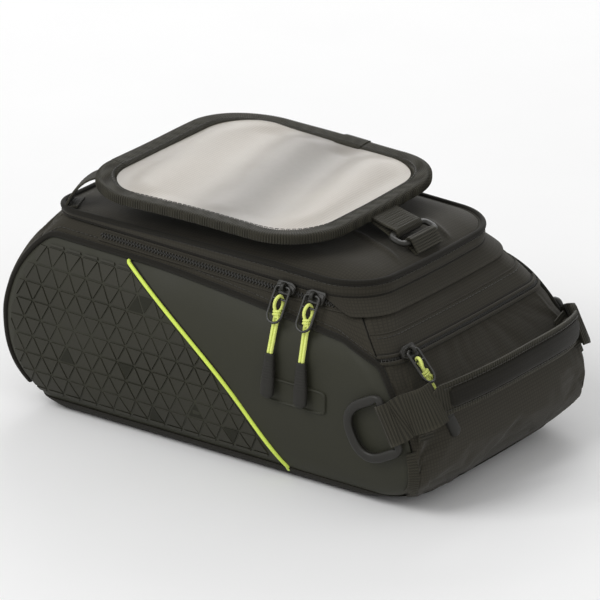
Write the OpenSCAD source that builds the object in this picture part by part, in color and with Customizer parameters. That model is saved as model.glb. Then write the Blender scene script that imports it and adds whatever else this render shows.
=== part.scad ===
// Tank bag for a motorcycle: padded body, zipped lid with a map pocket,
// front pocket, carry handle and two shoulder-strap rings.
// Millimetres. +X points to the handle end, +Y to the bag's left, +Z up.
// The origin is on the underside, below the middle of the bag.

/* [Body] */
// Height of the lid seam above the base, at the middle of the bag
lip_z = 143; // [130:1:155]
// Drop of the lid seam from its rear end to its front end
lid_drop = 8; // [2:0.5:12]
// Width of the base
base_w = 178; // [166:1:190]
// Width of the belly, the widest level
belly_w = 212; // [202:1:220]
// Width at the lid seam
lip_w = 168; // [158:1:176]
// Reach of the base behind the origin
base_rear = 150; // [140:1:160]
// Reach of the belly behind the origin
belly_rear = 186; // [178:1:194]
// Reach of the lid seam behind the origin
lip_rear = 149; // [142:1:156]
// Reach of the base in front of the origin
base_front = 156; // [150:1:165]
// Reach of the belly in front of the origin
belly_front = 182; // [176:1:188]
// Reach of the lid seam in front of the origin
lip_front = 122; // [115:1:128]
// Height of the widest level of the sides
side_belly_z = 55; // [48:1:62]
// Height of the foremost level of the front
front_belly_z = 38; // [32:1:44]
// Height of the rearmost level of the back
rear_belly_z = 68; // [60:1:76]
// Corner radius of the front at the base
base_round = 46; // [36:1:54]
// Corner radius of the front at the belly
belly_round = 12; // [10:1:20]
// Corner radius of the front at the lid seam
lip_round = 36; // [30:1:42]
// Corner radius of the rear
rear_round = 18; // [14:1:26]
// Outward crown of the front face
front_crown = 1.2; // [0.6:0.1:1.6]
// Thickness of the padded walls
wall_t = 4; // [3:0.5:6]
// Thickness of the lining
lining_t = 1; // [0.6:0.1:1.6]
// Thickness of the anti-slip base
base_t = 5; // [3:0.5:7]
// Thickness of the base board
board_t = 2; // [1.5:0.5:3]
// Margin of the base board inside the wall
board_margin = 9; // [7:0.5:14]

/* [Side panels] */
// Height of the top edge of the side panels
panel_top = 131.5; // [126:0.5:133]
// Drop of that edge from its level stretch to the front corner
panel_drop = 24; // [16:1:30]
// Rounding of the panel's upper rear corner
panel_round = 36; // [28:1:44]
// Half width of the welt on the panel's top seam
welt_half = 2.5; // [2:0.5:3]
// Height of the welts, bindings and piping over the panel
trim_t = 1.2; // [0.8:0.1:1.3]
// Width of the diagonal piping
piping_w = 4; // [3:0.5:6]
// Where the piping starts at the top, along the bag
piping_top_x = -74; // [-84:1:-64]
// Where the piping ends at the bottom, along the bag
piping_low_x = 66; // [56:1:74]
// Bow of the piping towards the front
piping_bow = 16; // [10:1:20]
// Length of the bare patch
patch_l = 56; // [44:1:64]
// Height of the bare patch
patch_h = 18; // [14:1:22]
// Middle of the patch along the bag
patch_x = 78; // [70:1:84]
// Middle of the patch above the base
patch_z = 71; // [66:1:76]

/* [Lid] */
// Height of the edge band of the lid
band_h = 12; // [9:0.5:14]
// Thickness of the edge band
band_t = 4; // [3:0.5:5]
// Rise of the lid's crown over its edge band
crown_h = 6; // [4:0.5:8]
// Share of the lid's height that is left at its rear end
lid_rear_share = 0.25; // [0.2:0.05:0.5]
// Place along the bag where the lid has its full height
lid_full_x = 45; // [30:5:60]
// Thickness of the lid's moulded skin
lid_t = 3; // [2:0.5:4]
// Thickness of the lid lining
lid_lining_t = 2; // [1:0.5:3]
// Radius of the rolled fabric hinge
hinge_r = 1.4; // [1:0.1:1.8]
// Length of the fabric hinge
hinge_l = 78; // [60:1:84]

/* [Map pocket] */
// Reach of the pocket behind the origin
map_rear = 126; // [120:1:130]
// Reach of the pocket in front of the origin
map_front = 79; // [74:1:82]
// Width of the pocket at its rear end
map_rear_w = 196; // [186:1:200]
// Width of the pocket at its front end
map_front_w = 186; // [176:1:192]
// Corner radius of the pocket
map_round = 50; // [44:1:54]
// Width of the webbing that binds the pocket
binding_w = 15; // [13:0.5:18]
// Thickness of the bound edge
binding_h = 9; // [8:0.5:11]
// Height of the pocket's middle plane over the lid seam
map_lift = 32; // [30:0.5:35]
// Thickness of the clear window
window_t = 1; // [0.8:0.1:1.5]
// Thickness of the pocket's back sheet
back_t = 1.5; // [1:0.1:2]

/* [Straps] */
// Width of the front strap
strap_w = 30; // [24:1:34]
// Width of each rear strap
rear_strap_w = 20; // [16:1:24]
// Thickness of the strap webbing
web_t = 1.8; // [1.4:0.1:2.4]
// Thickness of the linking ring's bars
link_t = 4; // [3:0.5:5]
// Distance between the middles of the linking ring's bars
link_pitch = 13; // [12:0.5:16]
// Place of the linking ring's middle along the bag
link_x = 104; // [102:1:106]
// Height of the linking ring's middle over the lid seam
link_lift = 23; // [23:0.5:26]

/* [Zips] */
// Distance of the main zip's coil below the lid seam
zip_drop = 4; // [3.5:0.5:5]
// Width of the zip tape
tape_w = 7; // [6:0.5:7.5]
// Thickness of the zip tape
tape_t = 0.8; // [0.6:0.1:1]
// Radius of the zip coil
coil_r = 1; // [0.8:0.1:1.2]
// Height of the front pocket's zip above the base
pocket_zip_z = 111; // [106:1:114]
// Length of a slider
slider_l = 16; // [14:0.5:18]
// Width of a slider
slider_w = 10; // [9:0.5:11]
// Thickness of a slider's plate
slider_t = 2.2; // [1.8:0.1:2.6]
// Place of the rear slider along the bag
rear_slider_x = 60; // [52:1:62]
// Place of the front slider along the bag
front_slider_x = 85; // [83:1:87]
// Distance of the pocket slider from the middle line
pocket_slider_y = -76; // [-80:1:-68]
// Radius of the pull's wire
wire_r = 0.9; // [0.7:0.1:1.1]
// Length of the wire loop
wire_l = 26; // [22:0.5:30]
// Distance of the wire loop's cross bar from its axis
bar_drop = 9; // [8:0.5:11]
// Width of the wire loop
wire_w = 12; // [11:0.5:14]
// Radius of the pull's cord
cord_r = 1.3; // [1:0.1:1.5]
// Length of the doubled cord on the main pulls
cord_l = 38; // [34:0.5:42]
// Length of the doubled cord on the pocket's pull
pocket_cord_l = 26; // [22:0.5:30]
// Length of the moulded pull end
grip_l = 33; // [28:0.5:36]
// Width of the moulded pull end at its foot
grip_w = 11; // [9:0.5:12]
// Thickness of the moulded pull end
grip_t = 5.5; // [5:0.5:6]

/* [Rings and handle] */
// Radius of the bar of the D-rings
ring_r = 2.6; // [2.2:0.1:3]
// Distance between the two arms of a D-ring
ring_h = 40; // [36:0.5:44]
// Length of the arms of a D-ring
ring_arm = 15; // [10:0.5:18]
// Tilt of the D-ring's bar from upright
ring_tilt = 28; // [22:1:34]
// Place of the D-ring's bar along the bag
ring_x = 162; // [156:1:163]
// Height of the middle of the D-ring's bar
ring_z = 70; // [64:1:72]
// Thickness of the handle's webbing
handle_t = 2.4; // [2:0.1:3]
// Width of the handle's webbing
handle_w = 24; // [20:1:26]
// Width of the handle's webbing at its ends
handle_end_w = 15; // [12:1:18]
// Reach of the handle in front of its pivot line
handle_bow = 29; // [26:1:31]
// Rise of the handle's middle over its pivot line
handle_rise = 12; // [8:1:16]
// Distance between the handle's two ends
handle_span = 192; // [184:1:196]
// Height of the handle's pivot line
handle_z = 84; // [80:1:87]
// Width of the padding along the handle
pad_w = 14; // [10:1:18]
// Thickness of the padding along the handle
pad_t = 3.5; // [2.5:0.5:5]
// Radius of the sewn roll that holds each end of the handle
tab_r = 3.4; // [3:0.1:4]
// Length of that roll
tab_l = 10; // [8:0.5:12]

/* [Clearances] */
// Gap between layers that lie on each other
layer_gap = 0.3; // [0.2:0.05:0.5]
// Gap between pieces that move past each other
run_gap = 0.4; // [0.3:0.05:0.6]

/* [Hidden] */
$fn = 32;

cloth = "#3a3a32";
panel_colour = "#42413a";
dark_cloth = "#26261f";
webbing = "#2c2b26";
plastic = "#1c1c1a";
lime = "#c8e13c";
clear = "#d9d9d6";

// Curvature of the wall towards the base and towards the lid seam, for each of its sides
side_low = 3;
side_high = 3.3;
front_low = 2.6;
front_high = 1.7;
rear_low = 2.5;
rear_high = 1.65;

// Where the side panels end on the rounded corners, as a share of the corner from the side
rear_share = 0.45;
front_share = 0.45;
panel_front = 1 + front_share;
panel_rear = -rear_share;
corner_steps = 5;
side_steps = 8;
wall_rows = 12;

fall = lid_drop / ((lip_rear + lip_front) * lip_z);
slope = atan(fall * lip_z);
wall_low = base_t + layer_gap;
// Least corner radius of an outline that is set far in
tight_round = 2;
floor_z = wall_low + board_t + layer_gap;
// The lining hangs this far inside the walls
lining_play = 1.6;
lining_gap = wall_t + lining_play;
seam_gap = layer_gap / 2;
trim_out = -layer_gap - trim_t;
pocket_t = 2.6;
pocket_out = -layer_gap - pocket_t;
tape_out = -run_gap - tape_t;

function lerp(a, b, t) = a + (b - a) * t;
function unit(v) = v / norm(v);

// Heights are drawn for a level lid seam, then leaned down towards the front
function lean(p) = [p[0], p[1], p[2] * (1 - fall * p[0])];

// A reach of the wall that starts at low, swells to mid and draws in to top at the lid seam
function swell(z, low, mid, top, z_mid, p, q) =
    z < z_mid ? mid - (mid - low) * pow(1 - z / z_mid, p)
              : mid - (mid - top) * pow((z - z_mid) / (lip_z - z_mid), q);
function half_w(z) = swell(z, base_w, belly_w, lip_w, side_belly_z, side_low, side_high) / 2;
function reach_f(z) = swell(z, base_front, belly_front, lip_front, front_belly_z, front_low, front_high);
function reach_r(z) = swell(z, base_rear, belly_rear, lip_rear, rear_belly_z, rear_low, rear_high);
function round_f(z) = swell(z, base_round, belly_round, lip_round, front_belly_z, front_low, front_high);

// A point of the level outline at height z, set in by d. Each unit of u is one side or one corner:
// right side, front right, front, front left, left side, rear left, rear, rear right
function rim(turn, z, d) =
    let (
        u = (turn + 8) % 8,
        k = floor(u),
        t = u - k,
        w = half_w(z) - d,
        f = reach_f(z) - d,
        r = -reach_r(z) + d,
        cf = round_f(z) - d,
        cr = max(rear_round - d, tight_round),
        y = lerp(-w + cf, w - cf, t)
    )
    k == 0 ? [lerp(r + cr, f - cf, t), -w] :
    k == 1 ? [f - cf + cf * sin(90 * t), -w + cf - cf * cos(90 * t)] :
    k == 2 ? [f + front_crown * (1 - pow(2 * t - 1, 2)), y] :
    k == 3 ? [f - cf + cf * cos(90 * t), w - cf + cf * sin(90 * t)] :
    k == 4 ? [lerp(f - cf, r + cr, t), w] :
    k == 5 ? [r + cr - cr * sin(90 * t), w - cr + cr * cos(90 * t)] :
    k == 6 ? [r, lerp(w - cr, -w + cr, t)] :
             [r + cr - cr * cos(90 * t), -w + cr - cr * sin(90 * t)];
function wall(u, z, d) = let (p = rim(u, z, d)) lean([p[0], p[1], z]);
// The lid thins towards its rear end, above its lining
function lid_share(x) = lerp(lid_rear_share, 1, min(1, max(0, (x + map_rear) / (lid_full_x + map_rear))));
function lid_height(x, h) = h < skin_low ? h : lerp(skin_low, h, lid_share(x));
// A point of the lid: the seam's outline set in by d, at height h over the seam
function lid_point(u, h, d) =
    let (p = rim(u, lip_z, d)) lean([p[0], p[1], lip_z + lid_height(p[0], h)]);

// Stations round the outline
function steps(a, b, n) = [for (i = [0 : n]) lerp(a, b, i / n)];
side_turns = concat(
    steps(panel_rear, 0, corner_steps),
    [for (i = [1 : side_steps - 1]) i / side_steps],
    steps(1, panel_front, corner_steps)
);
front_turns = concat(
    steps(panel_front, 2, corner_steps), steps(2.2, 2.8, 3), steps(3, 4 - front_share, corner_steps));
rear_turns = concat(steps(5 + rear_share, 6, corner_steps), [6.5], steps(7, 8 - rear_share, corner_steps));
ring_turns = [for (k = [0 : 7], i = [0 : corner_steps - 1])
    if (k % 2 == 1 || k == 2 || i == 0) k + i / corner_steps];

// Top edge of a side panel: level, rounded at the rear and falling to the front corner.
// The shares are of the panel's length, from its rear end
round_share = 0.22;
level_share = 0.42;
drop_curve = 1.5;
function panel_edge(u) =
    let (
        s = (u - panel_rear) / (panel_front - panel_rear),
        back = max(0, 1 - s / round_share),
        fore = max(0, (s - level_share) / (1 - level_share))
    )
    panel_top - panel_round * (1 - sqrt(1 - back * back)) - panel_drop * pow(fore, drop_curve);

// A closed sheet between two grids of points, outer and inner, clockwise seen from outside
module slab(outer, inner) {
    n = len(outer) - 1;
    m = len(outer[0]) - 1;
    size = (n + 1) * (m + 1);
    points = concat([for (row = outer) each row], [for (row = inner) each row]);
    function o(i, j) = i * (m + 1) + j;
    function b(i, j) = size + o(i, j);
    faces = concat(
        [for (i = [0 : n - 1], j = [0 : m - 1]) each [
            [o(i, j), o(i, j + 1), o(i + 1, j + 1)],
            [o(i, j), o(i + 1, j + 1), o(i + 1, j)],
            [b(i, j), b(i + 1, j + 1), b(i, j + 1)],
            [b(i, j), b(i + 1, j), b(i + 1, j + 1)]
        ]],
        [for (i = [0 : n - 1]) each [
            [o(i, 0), o(i + 1, 0), b(i + 1, 0)],
            [o(i, 0), b(i + 1, 0), b(i, 0)],
            [o(i + 1, m), o(i, m), b(i, m)],
            [o(i + 1, m), b(i, m), b(i + 1, m)]
        ]],
        [for (j = [0 : m - 1]) each [
            [o(0, j + 1), o(0, j), b(0, j)],
            [o(0, j + 1), b(0, j), b(0, j + 1)],
            [o(n, j), o(n, j + 1), b(n, j + 1)],
            [o(n, j), b(n, j + 1), b(n, j)]
        ]]
    );
    polyhedron(points, faces);
}

// A solid through closed outlines, each counter-clockwise seen from the next one
module loft(rings) {
    n = len(rings) - 1;
    m = len(rings[0]);
    points = [for (ring = rings) each ring];
    function at(k, i) = k * m + i % m;
    faces = concat(
        [for (k = [0 : n - 1], i = [0 : m - 1]) each [
            [at(k, i), at(k + 1, i), at(k + 1, i + 1)],
            [at(k, i), at(k + 1, i + 1), at(k, i + 1)]
        ]],
        [for (i = [1 : m - 2]) each [
            [at(0, 0), at(0, i), at(0, i + 1)],
            [at(n, 0), at(n, i + 1), at(n, i)]
        ]]
    );
    polyhedron(points, faces);
}

// A closed ring through sections, the last one joined to the first
module hoop(sections) {
    n = len(sections);
    m = len(sections[0]);
    points = [for (section = sections) each section];
    function at(k, i) = (k % n) * m + i % m;
    polyhedron(points, [for (k = [0 : n - 1], i = [0 : m - 1]) each [
        [at(k, i), at(k + 1, i), at(k + 1, i + 1)],
        [at(k, i), at(k + 1, i + 1), at(k, i + 1)]
    ]]);
}

// A sheet of the wall between two heights at each station
module wall_sheet(turns, low, high, rows, d_out, d_in) {
    function grid(d) = [for (i = [0 : len(turns) - 1])
        [for (j = [0 : rows]) wall(turns[i], lerp(low[i], high[i], j / rows), d)]];
    slab(grid(d_out), grid(d_in));
}

// The bag's left side is the mirror of its right side
module left() {
    mirror([0, 1, 0]) children();
}

// Base

module base_panel() {
    tread = 1.5;
    edge = 1;
    function ring(z, d) = [for (u = ring_turns) wall(u, z, d)];
    color(dark_cloth) loft([ring(0, tread), ring(tread, -edge), ring(base_t, -edge / 2)]);
}

module base_board() {
    outline = [for (u = ring_turns) rim(u, wall_low, board_margin)];
    color(plastic) translate([0, 0, wall_low + layer_gap]) linear_extrude(board_t - layer_gap) polygon(outline);
}

module lining() {
    low = floor_z + lining_t;
    function ring(z, d) = [for (u = ring_turns) wall(u, z, d)];
    outer = [for (j = [0 : wall_rows]) ring(lerp(floor_z, lip_z - lining_t, j / wall_rows), lining_gap)];
    inner = [for (j = [wall_rows : -1 : 0])
        ring(lerp(low, lip_z - lining_t, j / wall_rows), lining_gap + lining_t)];
    color(dark_cloth) loft(concat(outer, inner));
}

// Walls

module right_side_panel() {
    color(panel_colour) wall_sheet(
        side_turns,
        [for (u = side_turns) wall_low],
        [for (u = side_turns) panel_edge(u) - seam_gap],
        wall_rows, 0, wall_t
    );
}

module left_side_panel() {
    left() right_side_panel();
}

module right_zip_gusset() {
    color(cloth) wall_sheet(
        side_turns,
        [for (u = side_turns) panel_edge(u) + seam_gap],
        [for (u = side_turns) lip_z],
        3, 0, wall_t
    );
}

module left_zip_gusset() {
    left() right_zip_gusset();
}

module front_panel() {
    gap = 0.018;
    turns = [for (u = front_turns) lerp(u, 2.5, gap)];
    color(cloth) wall_sheet(
        turns, [for (u = turns) wall_low], [for (u = turns) lip_z], wall_rows, 0, wall_t);
}

module rear_panel() {
    gap = 0.018;
    turns = [for (u = rear_turns) lerp(u, 6.5, gap)];
    color(cloth) wall_sheet(
        turns, [for (u = turns) wall_low], [for (u = turns) lip_z], wall_rows, 0, wall_t);
}

// Trim on the walls

module right_welt() {
    inset = 0.01;
    turns = [for (u = side_turns) lerp(u, 0.5, inset)];
    color(dark_cloth) wall_sheet(
        turns,
        [for (u = turns) panel_edge(u) - welt_half],
        [for (u = turns) panel_edge(u) + welt_half],
        2, trim_out, -layer_gap
    );
}

module left_welt() {
    left() right_welt();
}

module right_corner_binding() {
    share = 0.42;
    low = 2 * base_t;
    high = ring_z - ring_h / 2;
    d = -2 * layer_gap;
    turns = steps(panel_front - share, panel_front, 4);
    color(webbing) wall_sheet(
        turns, [for (u = turns) low], [for (u = turns) high], 10, d - trim_t, d);
}

module left_corner_binding() {
    left() right_corner_binding();
}

module right_piping() {
    rows = 14;
    top = panel_top - welt_half - 4 * layer_gap;
    low = 2 * base_t;
    // Half the width along X of a strip that runs down at a slant
    lean_x = piping_w / 2 / cos(42);
    function height(t) = lerp(top, low, t);
    function middle(t) = lerp(piping_top_x, piping_low_x, t) + 4 * piping_bow * t * (1 - t);
    function edge(t, side, d) =
        lean([middle(t) + side * lean_x, -half_w(height(t)) + d, height(t)]);
    function grid(d) = [for (side = [-1, 1]) [for (i = [rows : -1 : 0]) edge(i / rows, side, d)]];
    color(lime) slab(grid(trim_out), grid(-layer_gap));
}

module left_piping() {
    left() right_piping();
}

module side_patch() {
    rows = 2;
    function point(sx, sz, d) =
        let (z = patch_z + sz * patch_h / 2) lean([patch_x + sx * patch_l / 2, -half_w(z) + d, z]);
    function grid(d) = [for (sx = [-1, 1]) [for (i = [-rows : rows]) point(sx, i / rows, d)]];
    color(plastic) slab(grid(trim_out), grid(-layer_gap));
}

// Front pocket

pocket_inset = 0.03;
pocket_turns = [for (u = front_turns) lerp(u, 2.5, pocket_inset)];
pocket_top = pocket_zip_z - tape_w / 2 - layer_gap;

module front_pocket() {
    color(cloth) wall_sheet(
        pocket_turns,
        [for (u = pocket_turns) 2 * base_t],
        [for (u = pocket_turns) pocket_top],
        14, pocket_out, -2 * layer_gap
    );
}

module pocket_zip_tape() {
    color(dark_cloth) wall_sheet(
        pocket_turns,
        [for (u = pocket_turns) pocket_top + layer_gap],
        [for (u = pocket_turns) pocket_zip_z + tape_w / 2],
        1, -layer_gap - tape_t, -layer_gap
    );
}

pocket_coil_off = 2 * layer_gap + tape_t + coil_r;

// A thin six-sided rod along the wall, set in by d
module coil(turns, z, d) {
    sides = 6;
    function section(u) = [for (i = [0 : sides - 1]) let (
            a = -360 * i / sides,
            p = rim(u, z + coil_r * sin(a), d + coil_r * cos(a))
        ) lean([p[0], p[1], z + coil_r * sin(a)])];
    loft([for (u = turns) section(u)]);
}

module pocket_zip_coil() {
    color(plastic) coil(pocket_turns, pocket_zip_z, -pocket_coil_off);
}

// Slope of the side wall and of the front wall at a height, as the tilt of their outward normal
probe = 0.5;
function side_normal(z) = atan((half_w(z - probe) - half_w(z + probe)) / (2 * probe));
function front_normal(z) = atan((reach_f(z - probe) - reach_f(z + probe)) / (2 * probe));

// Handle

handle_x = reach_f(handle_z) - pocket_out + layer_gap + tab_r;
pivot_z = lean([handle_x, 0, handle_z])[2];
strap_start = tab_r + run_gap;
handle_taper = 0.2;
bow_curve = 2.4;

module right_handle_tab() {
    color(webbing) translate([handle_x, -handle_span / 2, pivot_z]) rotate([90, 0, 0])
        cylinder(r = tab_r, h = tab_l, center = true);
}

module left_handle_tab() {
    left() right_handle_tab();
}

// A point of the handle's middle line, s from -1 at its right end to 1 at its left end
function handle_point(s) = [
    handle_x + strap_start + (handle_bow - strap_start) * (1 - pow(abs(s), bow_curve)),
    s * handle_span / 2,
    pivot_z + handle_rise * (1 - s * s)
];
function handle_out(s) = let (e = 0.01, t = unit(handle_point(s + e) - handle_point(s - e)))
    unit(cross(t, [0, 0, 1]));
function band(s, w, t0, t1) = let (p = handle_point(s), n = handle_out(s), z = [0, 0, w / 2])
    [p + n * t1 - z, p + n * t0 - z, p + n * t0 + z, p + n * t1 + z];

// The webbing narrows where it is folded into its ends
function webbing_w(s) = lerp(handle_end_w, handle_w, min(1, (1 - abs(s)) / handle_taper));

module handle_webbing() {
    n = 20;
    color(webbing) loft([for (i = [0 : n]) let (s = 2 * i / n - 1) band(s, webbing_w(s), 0, handle_t)]);
}

module handle_pad() {
    n = 14;
    share = 0.8;
    low = handle_t + layer_gap;
    color(cloth) loft([for (i = [0 : n]) band(share * (2 * i / n - 1), pad_w, low, low + pad_t)]);
}

// D-rings

loop_bore = ring_r + layer_gap;
loop_r = loop_bore + web_t;
ring_y = -(half_w(ring_z) + run_gap + loop_r);
bar_l = ring_h - 2 * ring_r - 2 * run_gap;

module at_ring() {
    translate([ring_x, ring_y, ring_z]) rotate([0, -ring_tilt, 0]) children();
}

module right_d_ring() {
    half = ring_h / 2;
    color(plastic) at_ring() union() {
        cylinder(r = ring_r, h = ring_h, center = true);
        for (side = [-1, 1]) {
            translate([0, 0, side * half]) sphere(r = ring_r);
            translate([0, 0, side * half]) rotate([0, -90, 0]) cylinder(r = ring_r, h = ring_arm);
        }
        translate([-ring_arm, 0, 0]) rotate([90, 90, 0]) rotate_extrude(angle = -180)
            translate([half, 0]) circle(r = ring_r);
    }
}

module left_d_ring() {
    left() right_d_ring();
}

module right_ring_strap() {
    tail = 9;
    tail_in = 24;
    color(webbing) at_ring() translate([0, 0, -bar_l / 2]) difference() {
        union() {
            cylinder(r = loop_r, h = bar_l);
            rotate([0, 0, tail_in]) translate([0, -web_t, 0]) cube([loop_r + tail, 2 * web_t, bar_l]);
        }
        translate([0, 0, -1]) cylinder(r = loop_bore, h = bar_l + 2);
    }
}

module left_ring_strap() {
    left() right_ring_strap();
}

// Lid

band_out = -2.2;
band_in = band_out + band_t;
lid_in = band_in + layer_gap;
hinge_off = 3.2;
hinge_x = -(lip_rear + hinge_off);
hinge_z = lean([hinge_x, 0, lip_z])[2];

module lid_hinge() {
    color(cloth) translate([hinge_x, 0, hinge_z]) rotate([90, 0, 0])
        cylinder(r = hinge_r, h = hinge_l, center = true);
}

module lid_band() {
    soft = 3;
    tuck = 1;
    function section(u) = [
        lid_point(u, run_gap, band_out + tuck),
        lid_point(u, run_gap, band_in),
        lid_point(u, band_h, band_in),
        lid_point(u, band_h, band_out + soft / 2),
        lid_point(u, band_h - soft, band_out + tuck / 2),
        lid_point(u, soft, band_out)
    ];
    color(cloth) hoop([for (u = ring_turns) section(u)]);
}

// Rings of the lid's crown: height over the band's top as a share of the crown, and inset
function lid_ring(h, d) = [for (u = ring_turns) lid_point(u, h, d)];
crown = [[0, 0], [0.35, 3], [0.7, 9], [1, 24]];
skin_low = run_gap + lid_lining_t + layer_gap;

module lid_panel() {
    outer = [for (c = crown) lid_ring(band_h + c[0] * crown_h, lid_in + c[1])];
    inner = [for (i = [len(crown) - 1 : -1 : 0])
        lid_ring(band_h - lid_t + crown[i][0] * crown_h, lid_in + lid_t + crown[i][1])];
    color(panel_colour) loft(concat(
        inner, [lid_ring(skin_low, lid_in + lid_t), lid_ring(skin_low, lid_in)], outer));
}

module lid_foam() {
    d = lid_in + lid_t + layer_gap;
    color(cloth) loft(concat(
        [lid_ring(skin_low, d)],
        [for (c = crown) lid_ring(band_h - lid_t - 5 * layer_gap + c[0] * crown_h, d + c[1])]
    ));
}

module lid_lining() {
    color(dark_cloth) loft([lid_ring(run_gap, lid_in), lid_ring(run_gap + lid_lining_t, lid_in)]);
}

// Main zip: it starts on the right side, goes round the front and ends on the left side
zip_start = 0.14;
zip_turns = concat(
    steps(zip_start, 0.9, 4), steps(1, 2, corner_steps), steps(2.2, 2.8, 3),
    steps(3, 4, corner_steps), steps(4.1, 5 - zip_start, 4)
);
zip_z = lip_z - zip_drop;
coil_off = layer_gap - tape_out + coil_r;

module zip_tape() {
    color(dark_cloth) wall_sheet(
        zip_turns,
        [for (u = zip_turns) zip_z - tape_w / 2],
        [for (u = zip_turns) zip_z + tape_w / 2],
        1, tape_out, -run_gap
    );
}

module zip_coil() {
    color(plastic) coil(zip_turns, zip_z, -coil_off);
}

// Map pocket

// A point of the pocket's outline set in by d, counter-clockwise from its right rear corner
map_steps = 6;
function map_corner(k, d) =
    let (
        sx = (k == 0 || k == 3) ? -1 : 1,
        sy = k < 2 ? -1 : 1,
        x = sx < 0 ? -map_rear : map_front,
        w = (sx < 0 ? map_rear_w : map_front_w) / 2,
        r = map_round - d
    )
    [for (i = [0 : map_steps]) let (a = 180 + 90 * k + 90 * i / map_steps)
        [x - sx * map_round + r * cos(a), sy * (w - map_round) + r * sin(a)]];
function map_ring(h, d) = [for (k = [0 : 3], p = map_corner(k, d)) lean([p[0], p[1], lip_z + map_lift + h])];

module map_binding() {
    round_off = 2;
    half = binding_h / 2;
    profile = [
        [0, -half + round_off], [round_off, -half], [binding_w - round_off, -half], [binding_w, -half + round_off],
        [binding_w, half - round_off], [binding_w - round_off, half], [round_off, half], [0, half - round_off]
    ];
    rings = [for (p = profile) map_ring(p[1], p[0])];
    color(webbing) hoop([for (i = [0 : len(rings[0]) - 1]) [for (ring = rings) ring[i]]]);
}

module map_window() {
    d = binding_w + layer_gap;
    sink = 3;
    low = binding_h / 2 - sink;
    color(clear, 0.5) loft([map_ring(low, d), map_ring(low + window_t, d)]);
}

module map_back() {
    d = binding_w + layer_gap;
    low = -binding_h / 2 + layer_gap;
    color(dark_cloth) loft([map_ring(low, d), map_ring(low + back_t, d)]);
}

// Straps of the map pocket, drawn as side views in x and z and as wide as the webbing
module side_view(w) {
    rotate([90, 0, 0]) linear_extrude(w, center = true) children();
}

function seam_z(x) = lip_z * (1 - fall * x);
function map_z(x) = (lip_z + map_lift) * (1 - fall * x);
// Height of the lid's skin over the seam, at a distance in from the edge of the skin
function crown_at(d) = band_h + crown_h * lookup(d, [for (c = crown) [c[1], c[0]]]);

// A rear strap runs from a rear corner of the pocket to the lid's corner below it
strap_turn = 22;
rear_strap_l = 20;

module right_rear_strap() {
    start = [-map_rear + map_round * (1 - cos(strap_turn)), map_round * (1 - sin(strap_turn)) - map_rear_w / 2];
    foot = start - rear_strap_l * [cos(strap_turn), sin(strap_turn)];
    edge_in = min(lip_w / 2 + foot[1], lip_rear + foot[0]) - lid_in + 2 * web_t;
    top = map_z(start[0]);
    low = seam_z(foot[0]) + lid_height(foot[0], crown_at(edge_in)) + layer_gap;
    elbow = [-rear_strap_l - web_t, lerp(low, top, 0.5)];
    color(webbing) translate(start) rotate([0, 0, strap_turn]) side_view(rear_strap_w) polygon([
        [-run_gap, top], elbow, [-rear_strap_l - web_t, low], [-rear_strap_l + 2 * web_t, low],
        [-rear_strap_l + 2 * web_t, low + web_t], [-rear_strap_l, low + web_t],
        elbow + [web_t, 0], [-run_gap, top - 1.4 * web_t]
    ]);
}

module left_rear_strap() {
    left() right_rear_strap();
}

link_tilt = 16;
link_r = link_t / 2;
link_loop = link_r + layer_gap;
link_z = seam_z(link_x) + link_lift;

module at_link() {
    translate([link_x, 0, link_z]) rotate([0, link_tilt, 0]) children();
}

module strap_link() {
    half = strap_w / 2 + run_gap + link_r;
    color(plastic) at_link() union() {
        for (side = [-1, 1]) {
            translate([side * link_pitch / 2, 0, 0]) rotate([90, 0, 0])
                cylinder(r = link_r, h = 2 * half, center = true);
            translate([0, side * half, 0]) rotate([0, 0, side * 90 - 90]) rotate_extrude(angle = 180)
                translate([link_pitch / 2, 0]) circle(r = link_r);
        }
    }
}

// A loop of webbing round one bar of the link, with a tail to the point end
module bar_loop(side, end) {
    bar = [
        link_x + side * link_pitch / 2 * cos(link_tilt),
        link_z - side * link_pitch / 2 * sin(link_tilt)
    ];
    across = unit([-(end - bar)[1], (end - bar)[0]]) * web_t;
    side_view(strap_w) difference() {
        union() {
            translate(bar) circle(r = link_loop + web_t);
            polygon([bar + across, bar - across, end - across, end + across]);
        }
        translate(bar) circle(r = link_loop);
    }
}

module pocket_front_strap() {
    end = [map_front + 2 * run_gap, map_z(map_front)];
    color(webbing) bar_loop(-1, end);
}

module lid_front_strap() {
    run = 7;
    end_x = link_x + link_pitch / 2 + run;
    end = [end_x, seam_z(end_x) + crown_at(lip_front - lid_in - end_x) + web_t + layer_gap];
    color(webbing) bar_loop(1, end);
}

// Zip sliders and their pulls

lug_w = 3;
lug_h = 3.4;
lug_bore = wire_r + run_gap;
pivot_h = slider_t + lug_bore + 1;
// Height of a slider's foot over a wall of the given tilt, on a coil that stands off the wall
function slider_foot(off, tilt) = off * sin(tilt) + coil_r + run_gap;

// A slider with its zip along X and its plate towards +Z; the pull's axis runs along X
module slider() {
    nose = slider_w * 0.6;
    color(plastic) difference() {
        union() {
            linear_extrude(slider_t) polygon([
                [-slider_l / 2, -nose / 2], [-slider_l / 4, -slider_w / 2], [slider_l / 2, -slider_w / 2],
                [slider_l / 2, slider_w / 2], [-slider_l / 4, slider_w / 2], [-slider_l / 2, nose / 2]
            ]);
            translate([-lug_w / 2, -lug_h, 0]) cube([lug_w, 2 * lug_h, pivot_h]);
            translate([0, 0, pivot_h]) rotate([0, 90, 0]) cylinder(r = lug_h, h = lug_w, center = true);
        }
        translate([0, 0, pivot_h]) rotate([0, 90, 0]) cylinder(r = lug_bore, h = lug_w + 2, center = true);
    }
}

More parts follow.
